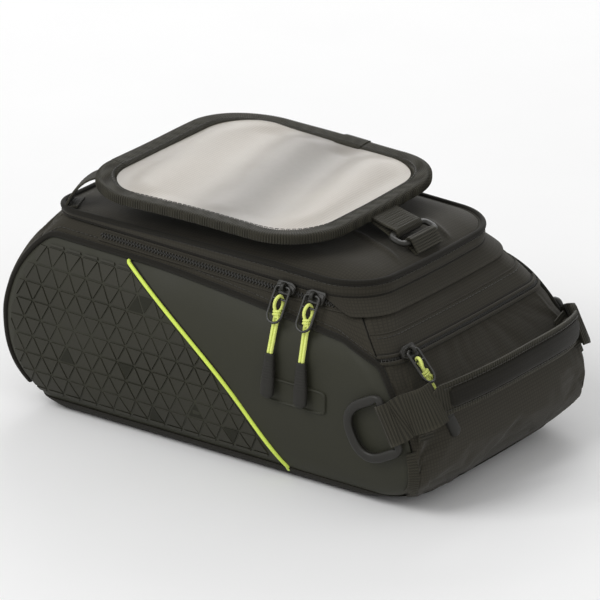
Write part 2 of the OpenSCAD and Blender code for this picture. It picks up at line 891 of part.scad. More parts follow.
// The pull hangs along -Y from the axis at the origin, its loop flat in X and Y
module pull_wire() {
    bend = 2.4;
    half = wire_w / 2;
    top = half - bend;
    side = wire_l - bend - half;
    color(plastic) union() {
        rotate([0, 90, 0]) cylinder(r = wire_r, h = 2 * top, center = true);
        translate([0, -bar_drop, 0]) rotate([0, 90, 0]) cylinder(r = wire_r, h = 2 * half, center = true);
        for (s = [0, 1]) mirror([s, 0, 0]) {
            translate([top, -bend, 0]) rotate_extrude(angle = 90) translate([bend, 0]) circle(r = wire_r);
            translate([half, -bend, 0]) rotate([90, 0, 0]) cylinder(r = wire_r, h = side);
        }
        translate([0, -bend - side, 0]) rotate_extrude(angle = -180) translate([half, 0]) circle(r = wire_r);
    }
}

// The doubled cord loops round the cross bar, which is the turning point of its lean
cord_bend = wire_r + layer_gap + cord_r;
knot_r = 2.1 * cord_r;

module at_bar(sway, kick) {
    translate([0, -bar_drop, 0]) rotate([kick, 0, sway]) children();
}

module pull_cord(sway, kick, length) {
    color(lime) at_bar(sway, kick) union() {
        rotate([0, 90, 0]) rotate_extrude() translate([cord_bend, 0]) circle(r = cord_r);
        translate([0, -cord_bend - knot_r, 0]) sphere(r = knot_r);
        for (s = [-1, 1]) translate([s * 0.92 * cord_r, -cord_bend - cord_r, 0]) rotate([90, 0, 0])
            cylinder(r = cord_r, h = length - cord_bend - cord_r);
    }
}

module pull_grip(sway, kick, length, grip_kick) {
    neck = grip_w * 0.72;
    nip = 2;
    top = grip_t / 2 * tan(grip_kick) + seam_gap;
    color(plastic) at_bar(sway, kick) translate([0, -length, 0]) rotate([grip_kick, 0, 0])
        translate([0, -top, -grip_t / 2]) linear_extrude(grip_t) polygon([
            [-neck / 2, 0], [-grip_w / 2, -grip_l + nip], [-grip_w / 2 + nip, -grip_l],
            [grip_w / 2 - nip, -grip_l], [grip_w / 2, -grip_l + nip], [neck / 2, 0]
        ]);
}

// Main sliders stand on the zip on the bag's right side, plate outwards
main_tilt = 90 - side_normal(zip_z);

module at_main_slider(x) {
    y = -half_w(zip_z);
    translate(lean([x, y, zip_z])) rotate([0, slope, 0]) rotate([main_tilt, 0, 0])
        translate([0, 0, slider_foot(coil_off, main_tilt)]) children();
}

// The wire hangs this far out from upright to pass the belly, the cord falls back from it,
// and the moulded end falls back from the cord
hang_out = 29.5;
main_kick = 12.5;
main_grip_kick = 11;
hang_tilt = 90 - hang_out - main_tilt;

module at_main_pull(x) {
    at_main_slider(x) translate([0, 0, pivot_h]) rotate([hang_tilt, 0, 0]) children();
}

rear_sway = 1;
front_sway = 4;

module rear_slider() {
    at_main_slider(rear_slider_x) mirror([1, 0, 0]) slider();
}

module rear_pull_wire() {
    at_main_pull(rear_slider_x) pull_wire();
}

module rear_pull_cord() {
    at_main_pull(rear_slider_x) pull_cord(rear_sway, main_kick, cord_l);
}

module rear_pull_grip() {
    at_main_pull(rear_slider_x) pull_grip(rear_sway, main_kick, cord_l, main_grip_kick);
}

module front_slider() {
    at_main_slider(front_slider_x) slider();
}

module front_pull_wire() {
    at_main_pull(front_slider_x) pull_wire();
}

module front_pull_cord() {
    at_main_pull(front_slider_x) pull_cord(front_sway, main_kick, cord_l);
}

module front_pull_grip() {
    at_main_pull(front_slider_x) pull_grip(front_sway, main_kick, cord_l, main_grip_kick);
}

// The pocket slider stands on the front pocket's zip, and its pull hangs over the pocket
front_tilt = 90 - front_normal(pocket_zip_z);
// The slider follows a chord of the crowned front, so it has this much play at the chord's ends
chord_play = 0.3;
crown_half = half_w(pocket_zip_z) - round_f(pocket_zip_z);
pocket_slider_x = reach_f(pocket_zip_z) + front_crown * (1 - pow(pocket_slider_y / crown_half, 2)) + chord_play;
pocket_hang_out = 42;
pocket_kick = 13;
pocket_grip_kick = 3;
pocket_sway = 9;

module at_pocket_slider() {
    translate(lean([pocket_slider_x, pocket_slider_y, pocket_zip_z])) rotate([0, 0, 90]) rotate([front_tilt, 0, 0])
        translate([0, 0, slider_foot(pocket_coil_off, front_tilt)]) children();
}

module at_pocket_pull() {
    at_pocket_slider() translate([0, 0, pivot_h]) rotate([90 - pocket_hang_out - front_tilt, 0, 0]) children();
}

module pocket_slider() {
    at_pocket_slider() slider();
}

module pocket_pull_wire() {
    at_pocket_pull() pull_wire();
}

module pocket_pull_cord() {
    at_pocket_pull() pull_cord(pocket_sway, pocket_kick, pocket_cord_l);
}

module pocket_pull_grip() {
    at_pocket_pull() pull_grip(pocket_sway, pocket_kick, pocket_cord_l, pocket_grip_kick);
}

base_panel();
base_board();
lining();
right_side_panel();
left_side_panel();
right_zip_gusset();
left_zip_gusset();
front_panel();
rear_panel();
right_welt();
left_welt();
right_corner_binding();
left_corner_binding();
right_piping();
left_piping();
side_patch();
front_pocket();
pocket_zip_tape();
pocket_zip_coil();
right_handle_tab();
left_handle_tab();
right_ring_strap();
left_ring_strap();
lid_hinge();
lid_band();
lid_panel();
lid_foam();
lid_lining();
zip_tape();
zip_coil();
map_back();
map_window();
map_binding();
right_rear_strap();
left_rear_strap();
pocket_front_strap();
lid_front_strap();
strap_link();
rear_slider();
rear_pull_wire();
rear_pull_cord();
rear_pull_grip();
front_slider();
front_pull_wire();
front_pull_cord();
front_pull_grip();
pocket_slider();
pocket_pull_wire();
pocket_pull_cord();
pocket_pull_grip();
right_d_ring();
left_d_ring();
handle_webbing();
handle_pad();
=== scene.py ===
"""Looks of a motorcycle tank bag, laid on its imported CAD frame: cloth, webbing, moulded and clear pieces."""
import math

import bmesh
import bpy
import numpy as np
from mathutils import Matrix, Vector


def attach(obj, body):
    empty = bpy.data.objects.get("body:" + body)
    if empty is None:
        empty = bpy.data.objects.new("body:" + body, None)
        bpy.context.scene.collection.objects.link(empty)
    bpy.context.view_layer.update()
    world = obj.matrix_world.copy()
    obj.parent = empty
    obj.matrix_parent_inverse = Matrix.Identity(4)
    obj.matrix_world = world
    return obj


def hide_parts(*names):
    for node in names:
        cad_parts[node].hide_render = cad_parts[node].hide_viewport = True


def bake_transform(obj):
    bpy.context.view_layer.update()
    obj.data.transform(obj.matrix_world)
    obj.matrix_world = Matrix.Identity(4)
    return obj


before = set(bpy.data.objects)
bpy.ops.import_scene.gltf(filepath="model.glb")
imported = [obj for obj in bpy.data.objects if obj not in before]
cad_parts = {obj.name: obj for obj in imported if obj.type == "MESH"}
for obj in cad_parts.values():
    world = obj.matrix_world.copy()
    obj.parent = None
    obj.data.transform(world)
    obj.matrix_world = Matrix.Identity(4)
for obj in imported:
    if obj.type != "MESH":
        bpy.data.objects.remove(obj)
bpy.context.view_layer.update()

bl_info = {
    "name": "Tank bag looks",
    "version": (1, 0, 0),
    "blender": (4, 5, 0),
    "location": "View3D > Sidebar > Tank bag",
    "description": "Builds the cloth, webbing and moulded pieces of a tank bag on its CAD frame",
    "category": "Object",
}

MM = 0.001
TAU = 2 * math.pi
SIDES = ("right", "left")

# Lengths in the shape functions are millimetres, as in the part's source
LIP_Z = 143.0
FALL = 8.0 / ((149.0 + 122.0) * LIP_Z)
WALL_LOW = 5.3
REAR_ROUND = 18.0
PANEL_REAR = -0.45
PANEL_FRONT = 1.45
ZIP_Z = 139.0
POCKET_ZIP_Z = 111.0
LID_IN = 2.1
SKIN_LOW = 2.7
LID_REAR_SHARE = 0.25
LID_FULL_X = 45.0
MAP_REAR = 126.0
MAP_FRONT = 79.0
MAP_HALF_REAR = 98.0
MAP_HALF_FRONT = 93.0
MAP_ROUND = 50.0
MAP_LIFT = 32.0
HANDLE_AXIS = np.array([173.849, 0.0, 80.985])


# Shape of the bag


def lerp(a, b, t):
    return a + (b - a) * t


def ease(x):
    x = np.clip(x, 0, 1)
    return x * x * (3 - 2 * x)


def unit(v):
    return v / np.maximum(np.linalg.norm(v, axis=-1, keepdims=True), 1e-9)


def swell(z, low, mid, top, z_mid, p, q):
    """A reach of the wall that starts at low, swells to mid and draws in to top at the lid seam."""
    under = mid - (mid - low) * np.clip(1 - z / z_mid, 0, None) ** p
    over = mid - (mid - top) * np.clip((z - z_mid) / (LIP_Z - z_mid), 0, None) ** q
    return np.where(z < z_mid, under, over)


def half_width(z):
    return swell(z, 178, 212, 168, 55, 3, 3.3) / 2


def front_reach(z):
    return swell(z, 156, 182, 122, 38, 2.6, 1.7)


def rear_reach(z):
    return swell(z, 150, 186, 149, 68, 2.5, 1.65)


def front_round(z):
    return swell(z, 46, 12, 36, 38, 2.6, 1.7)


def lean(x, y, z):
    """Heights are drawn for a level lid seam, then leaned down towards the front."""
    x, y, z = np.broadcast_arrays(x, y, z)
    return np.stack([x, y, z * (1 - FALL * x)], -1)


def rim(turn, z, d):
    """The level outline at height z, set in by d; each unit of turn is one side or one corner."""
    turn = np.mod(np.asarray(turn, float), 8)
    turn, z, d = np.broadcast_arrays(turn, np.asarray(z, float), np.asarray(d, float))
    k = np.floor(turn)
    t = turn - k
    w = half_width(z) - d
    f = front_reach(z) - d
    r = d - rear_reach(z)
    cf = np.maximum(front_round(z) - d, 2)
    cr = np.maximum(REAR_ROUND - d, 2)
    s, c = np.sin(t * math.pi / 2), np.cos(t * math.pi / 2)
    y = lerp(cf - w, w - cf, t)
    sides = [k == i for i in range(8)]
    xs = [
        lerp(r + cr, f - cf, t), f - cf + cf * s, f + 1.2 * (1 - (2 * t - 1) ** 2), f - cf + cf * c,
        lerp(f - cf, r + cr, t), r + cr - cr * s, r, r + cr - cr * c,
    ]
    rear_y = lerp(w - cr, cr - w, t)
    ys = [-w, cf - w - cf * c, y, w - cf + cf * s, w, w - cr + cr * c, rear_y, cr - w - cr * s]
    return np.select(sides, xs), np.select(sides, ys)


def wall(turn, z, d=0.0):
    x, y = rim(turn, z, d)
    return lean(x, y, z)


def lid_height(x, h):
    """Height over the seam; above its lining the lid thins towards its rear end."""
    share = lerp(LID_REAR_SHARE, 1, np.clip((x + MAP_REAR) / (LID_FULL_X + MAP_REAR), 0, 1))
    return np.where(h < SKIN_LOW, h, lerp(SKIN_LOW, h, share))


def lid_point(turn, h, d):
    x, y = rim(turn, LIP_Z, d)
    return lean(x, y, LIP_Z + lid_height(x, h))


def panel_edge(turn):
    """Top edge of a side panel: level, rounded at the rear and falling to the front corner."""
    s = (turn - PANEL_REAR) / (PANEL_FRONT - PANEL_REAR)
    back = np.clip(1 - s / 0.22, 0, 1)
    fore = np.clip((s - 0.42) / 0.58, 0, None)
    return 131.5 - 36 * (1 - np.sqrt(1 - back * back)) - 24 * fore**1.5


def piping_x(z):
    t = np.clip((127.8 - z) / 117.8, 0, 1)
    return lerp(-74, 66, t) + 4 * 16 * t * (1 - t)


def uneven(p, size, seed):
    """Slow unevenness of stuffed cloth, from -1 to 1."""
    x, y, z = p[..., 0] / size, p[..., 1] / size, p[..., 2] / size
    a = np.sin(1.3 * x + 0.7 * z + seed)
    b = np.sin(1.9 * y - 0.9 * z + 0.6 * x + 2.1 * seed)
    c = np.sin(2.3 * z + 0.8 * y - 0.4 * x + 0.7 * seed)
    return (a + b + c) / 3


def normals(grid):
    return unit(np.cross(np.gradient(grid, axis=0), np.gradient(grid, axis=1)))


def runs(points):
    """Length along a polyline at each of its points."""
    return np.concatenate([[0], np.cumsum(np.linalg.norm(np.diff(points, axis=0), axis=1))])


def resample(points, pitch, closed=False):
    points = np.asarray(points, float)
    if closed:
        points = np.vstack([points, points[:1]])
    s = runs(points)
    n = max(2, int(round(s[-1] / pitch)) + 1)
    at = np.linspace(0, s[-1], n)
    fine = np.stack([np.interp(at, s, points[:, i]) for i in range(3)], 1)
    return fine[:-1] if closed else fine


def curve_through(knots, n):
    """A smooth line through points, by cardinal splines."""
    k = np.asarray(knots, float)
    k = np.vstack([2 * k[0] - k[1], k, 2 * k[-1] - k[-2]])
    out = []
    for i in range(1, len(k) - 2):
        t = np.linspace(0, 1, n, endpoint=False)[:, None]
        a, b, c, d = k[i - 1], k[i], k[i + 1], k[i + 2]
        square = 2 * a - 5 * b + 4 * c - d
        cube = 3 * b - a - 3 * c + d
        out.append(0.5 * (2 * b + (c - a) * t + square * t**2 + cube * t**3))
    return np.vstack(out + [k[-2][None]])


def looped(g, axis=0):
    """The grid with its first row, or column, once more at its end."""
    return np.concatenate([g, g.take([0], axis)], axis)


def squared(v, power):
    """A sine or cosine drawn towards a squarer outline."""
    return np.sign(v) * np.abs(v) ** power


def stretches(*spans):
    """Numbers in stretches of (first, last, count), each joint counted once."""
    parts = [np.linspace(*span) for span in spans]
    return np.concatenate(parts[:1] + [part[1:] for part in parts[1:]])


def mirrored(points, side):
    """The bag's left side is the mirror of its right side."""
    return points * np.array([1, -1, 1]) if side == "left" else points


def placed(matrix, points):
    m = np.array(matrix)
    return np.asarray(points, float) @ m[:3, :3].T + m[:3, 3]


# Building meshes


class Build:
    """Collects the points, faces, map and edge values of one piece, in millimetres."""

    def __init__(self):
        self.points, self.maps, self.edges, self.faces, self.slots = [], [], [], [], []
        self.count = 0

    def add(self, points, uv, edge, faces, slot):
        self.points.append(points)
        self.maps.append(uv)
        self.edges.append(edge)
        self.faces.extend((np.asarray(faces) + self.count).tolist())
        self.slots.extend([slot] * len(faces))
        self.count += len(points)

    def grid(self, g, edge=None, slot=0, uv=None):
        n, m = g.shape[:2]
        if uv is None:
            a = np.concatenate([[0], np.cumsum(np.linalg.norm(np.diff(g, axis=0), axis=2).mean(1))])
            b = np.concatenate([[0], np.cumsum(np.linalg.norm(np.diff(g, axis=1), axis=2).mean(0))])
            uv = np.stack(np.meshgrid(a, b, indexing="ij"), -1)
        edge = np.zeros((n, m)) if edge is None else np.broadcast_to(edge, (n, m))
        i = np.arange(n * m).reshape(n, m)
        quads = np.stack([i[:-1, :-1], i[1:, :-1], i[1:, 1:], i[:-1, 1:]], -1).reshape(-1, 4)
        self.add(g.reshape(-1, 3), uv.reshape(-1, 2), edge.reshape(-1), quads, slot)

    def face(self, ring, uv=None, edge=0.0, slot=0):
        """One face on a ring of points."""
        n = len(ring)
        self.add(ring, np.zeros((n, 2)) if uv is None else uv, np.full(n, edge), [list(range(n))], slot)

    def slab(self, outer, inner, edge=None, slot=0):
        """A closed sheet between two grids."""
        self.grid(outer, edge, slot)
        self.grid(inner[::-1], None, slot)
        for a, b in ((outer[0], inner[0]), (inner[-1], outer[-1])):
            self.grid(np.stack([a, b]), 1.0, slot)
        for a, b in ((inner[:, 0], outer[:, 0]), (outer[:, -1], inner[:, -1])):
            self.grid(np.stack([a, b]), 1.0, slot)

    def disc(self, ring, levels):
        """Closes a ring of points with rings that shrink to its middle."""
        middle = ring.mean(0)
        shares = np.linspace(1, 0.02, levels + 1)
        rows = looped(np.stack([middle + (ring - middle) * s for s in shares], 1))
        self.grid(rows, uv=rows[..., :2])
        last = rows[:-1, -1]
        self.face(last, last[:, :2])

    def tube(self, path, a, b=None, out=None, sides=12, closed=False, slot=0, power=2.0, cap=True):
        """A round or flattened rod along a path: half-size a across it and b towards out."""
        path = np.asarray(path, float)
        n = len(path)
        a = np.broadcast_to(np.asarray(a, float), (n,))
        b = a if b is None else np.broadcast_to(np.asarray(b, float), (n,))
        if closed:
            tangent = unit(np.roll(path, -1, 0) - np.roll(path, 1, 0))
        else:
            tangent = unit(np.gradient(path, axis=0))
        if out is None:
            out = np.zeros((n, 3))
            start = np.array([0, 0, 1.0]) if abs(tangent[0][2]) < 0.9 else np.array([1.0, 0, 0])
            for i in range(n):
                start = unit(start - tangent[i] * start.dot(tangent[i]))
                out[i] = start
        else:
            out = np.broadcast_to(np.asarray(out, float), (n, 3))
            out = unit(out - tangent * (out * tangent).sum(1, keepdims=True))
        across = np.cross(tangent, out)
        angle = np.linspace(0, TAU, sides + 1)
        c, s = squared(np.cos(angle), 2 / power), squared(np.sin(angle), 2 / power)
        rows = (
            path[:, None]
            + across[:, None] * (a[:, None] * c)[..., None]
            + out[:, None] * (b[:, None] * s)[..., None]
        )
        if closed:
            rows = looped(rows)
        elif cap:
            ends = []
            for i, sign in ((0, -1), (n - 1, 1)):
                steps = [(math.cos(t), math.sin(t)) for t in (0.5, 1.0, 1.35)]
                ahead = sign * tangent[i] * min(a[i], b[i])
                grown = [path[i] + (rows[i] - path[i]) * k + ahead * h for k, h in steps]
                ends.append(np.stack(grown))
            rows = np.concatenate([ends[0][::-1], rows, ends[1]])
        self.grid(rows, None, slot)
        if not closed and cap:
            for ring in (rows[0][:-1], rows[-1][:-1]):
                self.face(ring, slot=slot)

    def ribbon(self, path, out, width, thick, pitch, depth, slot=0):
        """A webbing strap along a path with its face towards out and ribs across it."""
        path = np.asarray(path, float)
        n = len(path)
        width = np.broadcast_to(np.asarray(width, float), (n,))
        tangent = unit(np.gradient(path, axis=0))
        out = np.broadcast_to(np.asarray(out, float), (n, 3))
        out = unit(out - tangent * (out * tangent).sum(1, keepdims=True))
        across = np.cross(tangent, out)
        m = 11
        t = np.linspace(-1, 1, m)
        side = np.clip((1 - np.abs(t)) / 0.07, 0, 1)
        swell_ = thick / 2 * np.sqrt(1 - (1 - side) ** 2 * 0.75)
        along = runs(path)
        wave = np.cos(TAU * along / pitch)[:, None] * depth / 2 * side
        rise = swell_ - depth / 2 * side + wave + depth * 0.5
        flat = path[:, None] + across[:, None] * (t * width[:, None] / 2)[..., None]
        top = flat + out[:, None] * rise[..., None]
        low = flat - out[:, None] * rise[..., None]
        uv = np.stack(np.broadcast_arrays(along[:, None], t * width.max() / 2), -1)
        edge = np.broadcast_to(1 - side, (n, m))
        self.grid(top, edge, slot, uv)
        self.grid(low[:, ::-1], edge, slot, uv[:, ::-1])
        self.grid(np.stack([low[:, 0], top[:, 0]], 1)[::-1], 1.0, slot)
        self.grid(np.stack([top[:, -1], low[:, -1]], 1)[::-1], 1.0, slot)
        self.grid(np.stack([top[0], low[0]]), 1.0, slot)
        self.grid(np.stack([low[-1], top[-1]]), 1.0, slot)

    def plate(self, outline, matrix, thick, bevel):
        """A flat moulded plate with rounded edges on a closed outline in X and Y, from Z 0 to thick."""
        o = np.asarray(outline, float)
        turn = unit(np.roll(o, -1, 0) - np.roll(o, 1, 0))
        inward = np.stack([-turn[:, 1], turn[:, 0]], 1)
        rows = []
        angles = np.linspace(0, math.pi / 2, 5)
        for base, sign in ((0, -1), (thick, 1)):
            part = []
            for t in angles:
                p = o + inward * bevel * (1 - math.cos(t))
                z = base - sign * bevel * (1 - math.sin(t))
                part.append(np.column_stack([p, np.full(len(p), z)]))
            rows += part[::-1] if sign < 0 else part
        rows = [placed(matrix, r) for r in rows]
        self.grid(looped(np.stack(rows, 1)))
        self.disc(rows[0][::-1], 3)
        self.disc(rows[-1], 3)

    def piece(self, name, finishes, angle, body, slot, *nodes):
        """Makes the piece; finishes are named in the order of their slots, angle is where shading breaks."""
        points = np.concatenate(self.points) * MM
        mesh = bpy.data.meshes.new(name)
        mesh.from_pydata(points.tolist(), [], self.faces)
        mesh.update()
        for finish in finishes.split():
            mesh.materials.append(FINISH[finish])
        mesh.polygons.foreach_set("material_index", self.slots)
        corner = np.zeros(len(mesh.loops), np.int32)
        mesh.loops.foreach_get("vertex_index", corner)
        layer = mesh.uv_layers.new(name="UVMap")
        uv = np.concatenate(self.maps) * MM
        layer.data.foreach_set("uv", uv[corner].astype(np.float32).reshape(-1))
        edge = mesh.attributes.new("edge", "FLOAT", "POINT")
        edge.data.foreach_set("value", np.concatenate(self.edges).astype(np.float32))
        work = bmesh.new()
        work.from_mesh(mesh)
        bmesh.ops.remove_doubles(work, verts=work.verts, dist=2e-6)
        bmesh.ops.dissolve_degenerate(work, dist=1e-7, edges=work.edges)
        bmesh.ops.recalc_face_normals(work, faces=work.faces)
        work.to_mesh(mesh)
        work.free()
        smooth(mesh, angle)
        return piece(name, mesh, body, slot, *nodes)


def smooth(mesh, angle):
    mesh.polygons.foreach_set("use_smooth", [True] * len(mesh.polygons))
    mesh.set_sharp_from_angle(angle=math.radians(angle))


def piece(name, mesh, body, slot, *nodes):
    """Puts a mesh in the scene as a piece on a body that stands for CAD nodes."""
    obj = bpy.data.objects.new(name, mesh)
    bpy.context.scene.collection.objects.link(obj)
    if body:
        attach(obj, body)
        if nodes:
            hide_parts(*nodes)
    return obj


# Finishes


class Socket:
    """An output of a material's tree; arithmetic on it adds Math nodes."""

    def __init__(self, paint, link):
        self.paint = paint
        self.link = link

    def __add__(self, other):
        return self.paint.maths("ADD", self, other)

    def __radd__(self, other):
        return self.paint.maths("ADD", other, self)

    def __sub__(self, other):
        return self.paint.maths("SUBTRACT", self, other)

    def __rsub__(self, other):
        return self.paint.maths("SUBTRACT", other, self)

    def __mul__(self, other):
        return self.paint.maths("MULTIPLY", self, other)

    def __rmul__(self, other):
        return self.paint.maths("MULTIPLY", other, self)

    def sin(self):
        return self.paint.maths("SINE", self)

    def size(self):
        return self.paint.maths("ABSOLUTE", self)

    def over(self, low, high):
        """0 below low, 1 above high, smooth between."""
        sockets = {"Value": self, "From Min": low, "From Max": high}
        return self.paint.node("ShaderNodeMapRange", {"interpolation_type": "SMOOTHSTEP"}, sockets)


class Paint:
    """One procedural material."""

    def __init__(self, name):
        self.material = bpy.data.materials.new(name)
        self.material.use_nodes = True
        self.tree = self.material.node_tree
        self.tree.nodes.clear()
        self.shader = self.tree.nodes.new("ShaderNodeBsdfPrincipled")
        output = self.tree.nodes.new("ShaderNodeOutputMaterial")
        self.tree.links.new(self.shader.outputs[0], output.inputs[0])

    def node(self, kind, settings=None, sockets=None, out=0):
        made = self.tree.nodes.new(kind)
        for key, value in (settings or {}).items():
            setattr(made, key, value)
        for key, value in (sockets or {}).items():
            if isinstance(value, Socket):
                self.tree.links.new(value.link, made.inputs[key])
            else:
                made.inputs[key].default_value = value
        return Socket(self, made.outputs[out])

    def maths(self, operation, *values):
        return self.node("ShaderNodeMath", {"operation": operation}, dict(enumerate(values)))

    def mix(self, factor, a, b):
        return self.node("ShaderNodeMix", {"data_type": "RGBA"}, {0: factor, 6: a, 7: b}, 2)

    def place(self):
        return self.node("ShaderNodeTexCoord", out=3)

    def thread_map(self):
        """The piece's own map, in metres along and across its cloth."""
        uv = self.node("ShaderNodeTexCoord", out=2)
        return [self.node("ShaderNodeSeparateXYZ", {}, {0: uv}, i) for i in (0, 1)]

    def noise(self, scale, detail):
        return self.node("ShaderNodeTexNoise", {}, {"Vector": self.place(), "Scale": scale, "Detail": detail})

    def net(self, u, v, pitch):
        """Thin lines of a square net."""
        warp, weft = ((x * (math.pi / pitch)).sin().size().over(0.8, 1.0) for x in (u, v))
        return self.maths("MAXIMUM", warp, weft)

    def edge(self):
        return self.node("ShaderNodeAttribute", {"attribute_name": "edge"}, out=2)

    def bump(self, height, strength, depth):
        return self.node("ShaderNodeBump", {}, {"Height": height, "Strength": strength, "Distance": depth})

    def finish(self, **sockets):
        for key, value in sockets.items():
            socket = self.shader.inputs[key.replace("_", " ")]
            if isinstance(value, Socket):
                self.tree.links.new(value.link, socket)
            else:
                socket.default_value = value
        return self.material


# Pitch of the threads that stand out in cloth and film, in metres, and how far cloth varies in tone
CLOTH_NET = 0.0024
FILM_NET = 0.0021
CLOTH_CLOUD = 0.352


def tone(colour, k):
    return (colour[0] * k, colour[1] * k, colour[2] * k, 1.0)


def woven(name, colour, thread, rough, depth, sheen):
    """Cloth of plain weave, dusty and uneven in colour, worn a little paler at its edges."""
    p = Paint(name)
    u, v = p.thread_map()
    weave = (u * (TAU / thread)).sin() * (v * (TAU / thread)).sin() * 0.5 + 0.5
    slub = p.noise(420, 2)
    patch = p.noise(26, 3)
    shade = weave * 0.3 + slub * 0.35 + patch * 0.35
    base = p.mix(shade, tone(colour, 1 - CLOTH_CLOUD), tone(colour, 1 + CLOTH_CLOUD))
    base = p.mix(p.net(u, v, CLOTH_NET) * 0.5, base, tone(colour, 0.45))
    worn = p.edge() * patch.over(0.35, 0.7) * 0.4
    base = p.mix(worn, base, tone(colour, 1.9))
    height = weave * 0.6 + slub * 0.4
    return p.finish(
        Base_Color=base,
        Roughness=rough + (patch - 0.5) * 0.16,
        Normal=p.bump(height, depth, thread * 0.4),
        Sheen_Weight=sheen,
        Sheen_Roughness=0.55,
        Specular_IOR_Level=0.14,
    )


def ribbed_tape(name, colour, pitch, rough):
    """Webbing whose yarns lie across it, with a hard selvedge and scuffed ribs; stripes of painted light and
    shade in its colour copy the shading of its ribs.
    """
    p = Paint(name)
    u, v = p.thread_map()
    # Stripes across the tape at the given pitch: the relief of its yarns for the bump, and in the colour the
    # painted light and shade of its ribs.
    yarn_relief_and_rib_shade = (u * (TAU / pitch)).sin() * 0.5 + 0.5
    twill = ((u + v) * (TAU / (0.8 * pitch))).sin() * 0.5 + 0.5
    dust = p.noise(60, 4)
    fibre = p.noise(1500, 1)
    shade = yarn_relief_and_rib_shade * 0.5 + twill * 0.2 + dust * 0.2 + fibre * 0.1
    base = p.mix(shade, tone(colour, 0.35), tone(colour, 1.75))
    base = p.mix(p.edge() * dust.over(0.4, 0.65) * 0.5, base, tone(colour, 2.0))
    return p.finish(
        Base_Color=base,
        Roughness=rough + (dust - 0.5) * 0.2,
        Normal=p.bump(yarn_relief_and_rib_shade * 0.6 + twill * 0.4, 0.5, pitch * 0.3),
        Sheen_Weight=0.05,
        Specular_IOR_Level=0.16,
    )


def moulded(name, colour, rough, grain, coat, depth, shine=0.3):
    """Moulded plastic or skin with a fine leathery grain, rubbed shinier in patches."""
    p = Paint(name)
    cells = p.node("ShaderNodeTexVoronoi", {}, {"Vector": p.place(), "Scale": grain})
    patch = p.noise(34, 4)
    speck = p.noise(grain * 1.7, 2)
    shade = patch * 0.55 + speck * 0.25 + cells * 0.4
    base = p.mix(shade, tone(colour, 0.72), tone(colour, 1.28))
    base = p.mix(p.edge() * patch.over(0.4, 0.7) * 0.35, base, tone(colour, 1.8))
    return p.finish(
        Base_Color=base,
        Roughness=rough + (patch - 0.5) * 0.2 + (speck - 0.5) * 0.1,
        Normal=p.bump(cells + speck * 0.5, depth, 0.0004),
        Coat_Weight=coat,
        Coat_Roughness=0.3,
        Specular_IOR_Level=shine,
    )


def braid(name, colour, pitch):
    """Cord of crossed strands, a little soiled."""
    p = Paint(name)
    u, v = p.thread_map()
    one = ((u + v * 0.7) * (TAU / pitch)).sin()
    two = ((u - v * 0.7) * (TAU / pitch)).sin()
    strand = one * two * 0.5 + 0.5
    soil = p.noise(160, 3)
    base = p.mix(strand * 0.5 + soil * 0.5, tone(colour, 0.72), tone(colour, 1.12))
    return p.finish(
        Base_Color=base,
        Roughness=0.62 + (soil - 0.5) * 0.2,
        Normal=p.bump(strand, 0.6, 0.0004),
        Sheen_Weight=0.1,
    )


def film(name, colour):
    """Clear film with a laid-in net of threads, hazed and dusty, crossed by broad bands of painted reflection.
    """
    p = Paint(name)
    u, v = p.thread_map()
    lines = p.net(u, v, FILM_NET)
    haze_and_reflection_wobble = p.noise(14, 2)
    dust = p.noise(240, 2)
    # Painted reflection: broad bright and dark bands in the film's colour, wobbled by the haze noise, stand in
    # for the studio mirrored in the wavy film.
    band = ((u + v * 0.15) * (TAU / 0.125) + haze_and_reflection_wobble * 1.2 + 4.8).sin() * 0.5 + 0.5
    base = p.mix(band * 0.8 + haze_and_reflection_wobble * 0.12 + dust * 0.08, tone(colour, 0.45), tone(colour, 1.35))
    base = p.mix(lines * 0.35, base, tone(colour, 0.45))
    return p.finish(
        Base_Color=base,
        Roughness=0.28 + haze_and_reflection_wobble * 0.1,
        Alpha=0.92 + lines * 0.06,
        Specular_IOR_Level=0.2,
    )


FINISH = {}


def make_finishes():
    c = bpy.context.scene.tank_bag_colours
    FINISH.update(
        cloth=woven("shell_cloth", c.cloth, 0.0011, 0.82, 0.35, 0.08),
        moulded=moulded("moulded_skin", c.panel, 0.6, 1500, 0.0, 0.12),
        tile=moulded("raised_tile", c.tile, 0.58, 1500, 0.0, 0.12),
        dark_tile=moulded("smooth_tile", tone(c.panel, 0.62), 0.62, 1500, 0.0, 0.06, 0.2),
        dark=woven("dark_cloth", c.dark_cloth, 0.0009, 0.85, 0.3, 0.06),
        lining=woven("lining_cloth", c.lining, 0.0014, 0.85, 0.35, 0.2),
        base=moulded("grip_underside", c.dark_cloth, 0.85, 700, 0.0, 0.3),
        # The webbing's stripes of painted rib light and shade have the same pitch as its modelled ribs.
        webbing=ribbed_tape("webbing", c.webbing, 0.0021, 0.7),
        tape=ribbed_tape("zip_tape", c.dark_cloth, 0.0008, 0.8),
        plastic=moulded("hard_plastic", c.plastic, 0.46, 2600, 0.05, 0.06),
        rubber=moulded("soft_plastic", c.plastic, 0.62, 1800, 0.0, 0.2),
        wire=moulded("painted_wire", c.plastic, 0.3, 3000, 0.3, 0.03),
        lime=moulded("lime_piping", c.lime, 0.42, 900, 0.1, 0.1),
        cord=braid("lime_cord", c.cord, 0.0022),
        window=film("clear_window", c.window),
        thread=braid("sewing_thread", c.thread, 0.0012),
    )


# Geometry Nodes


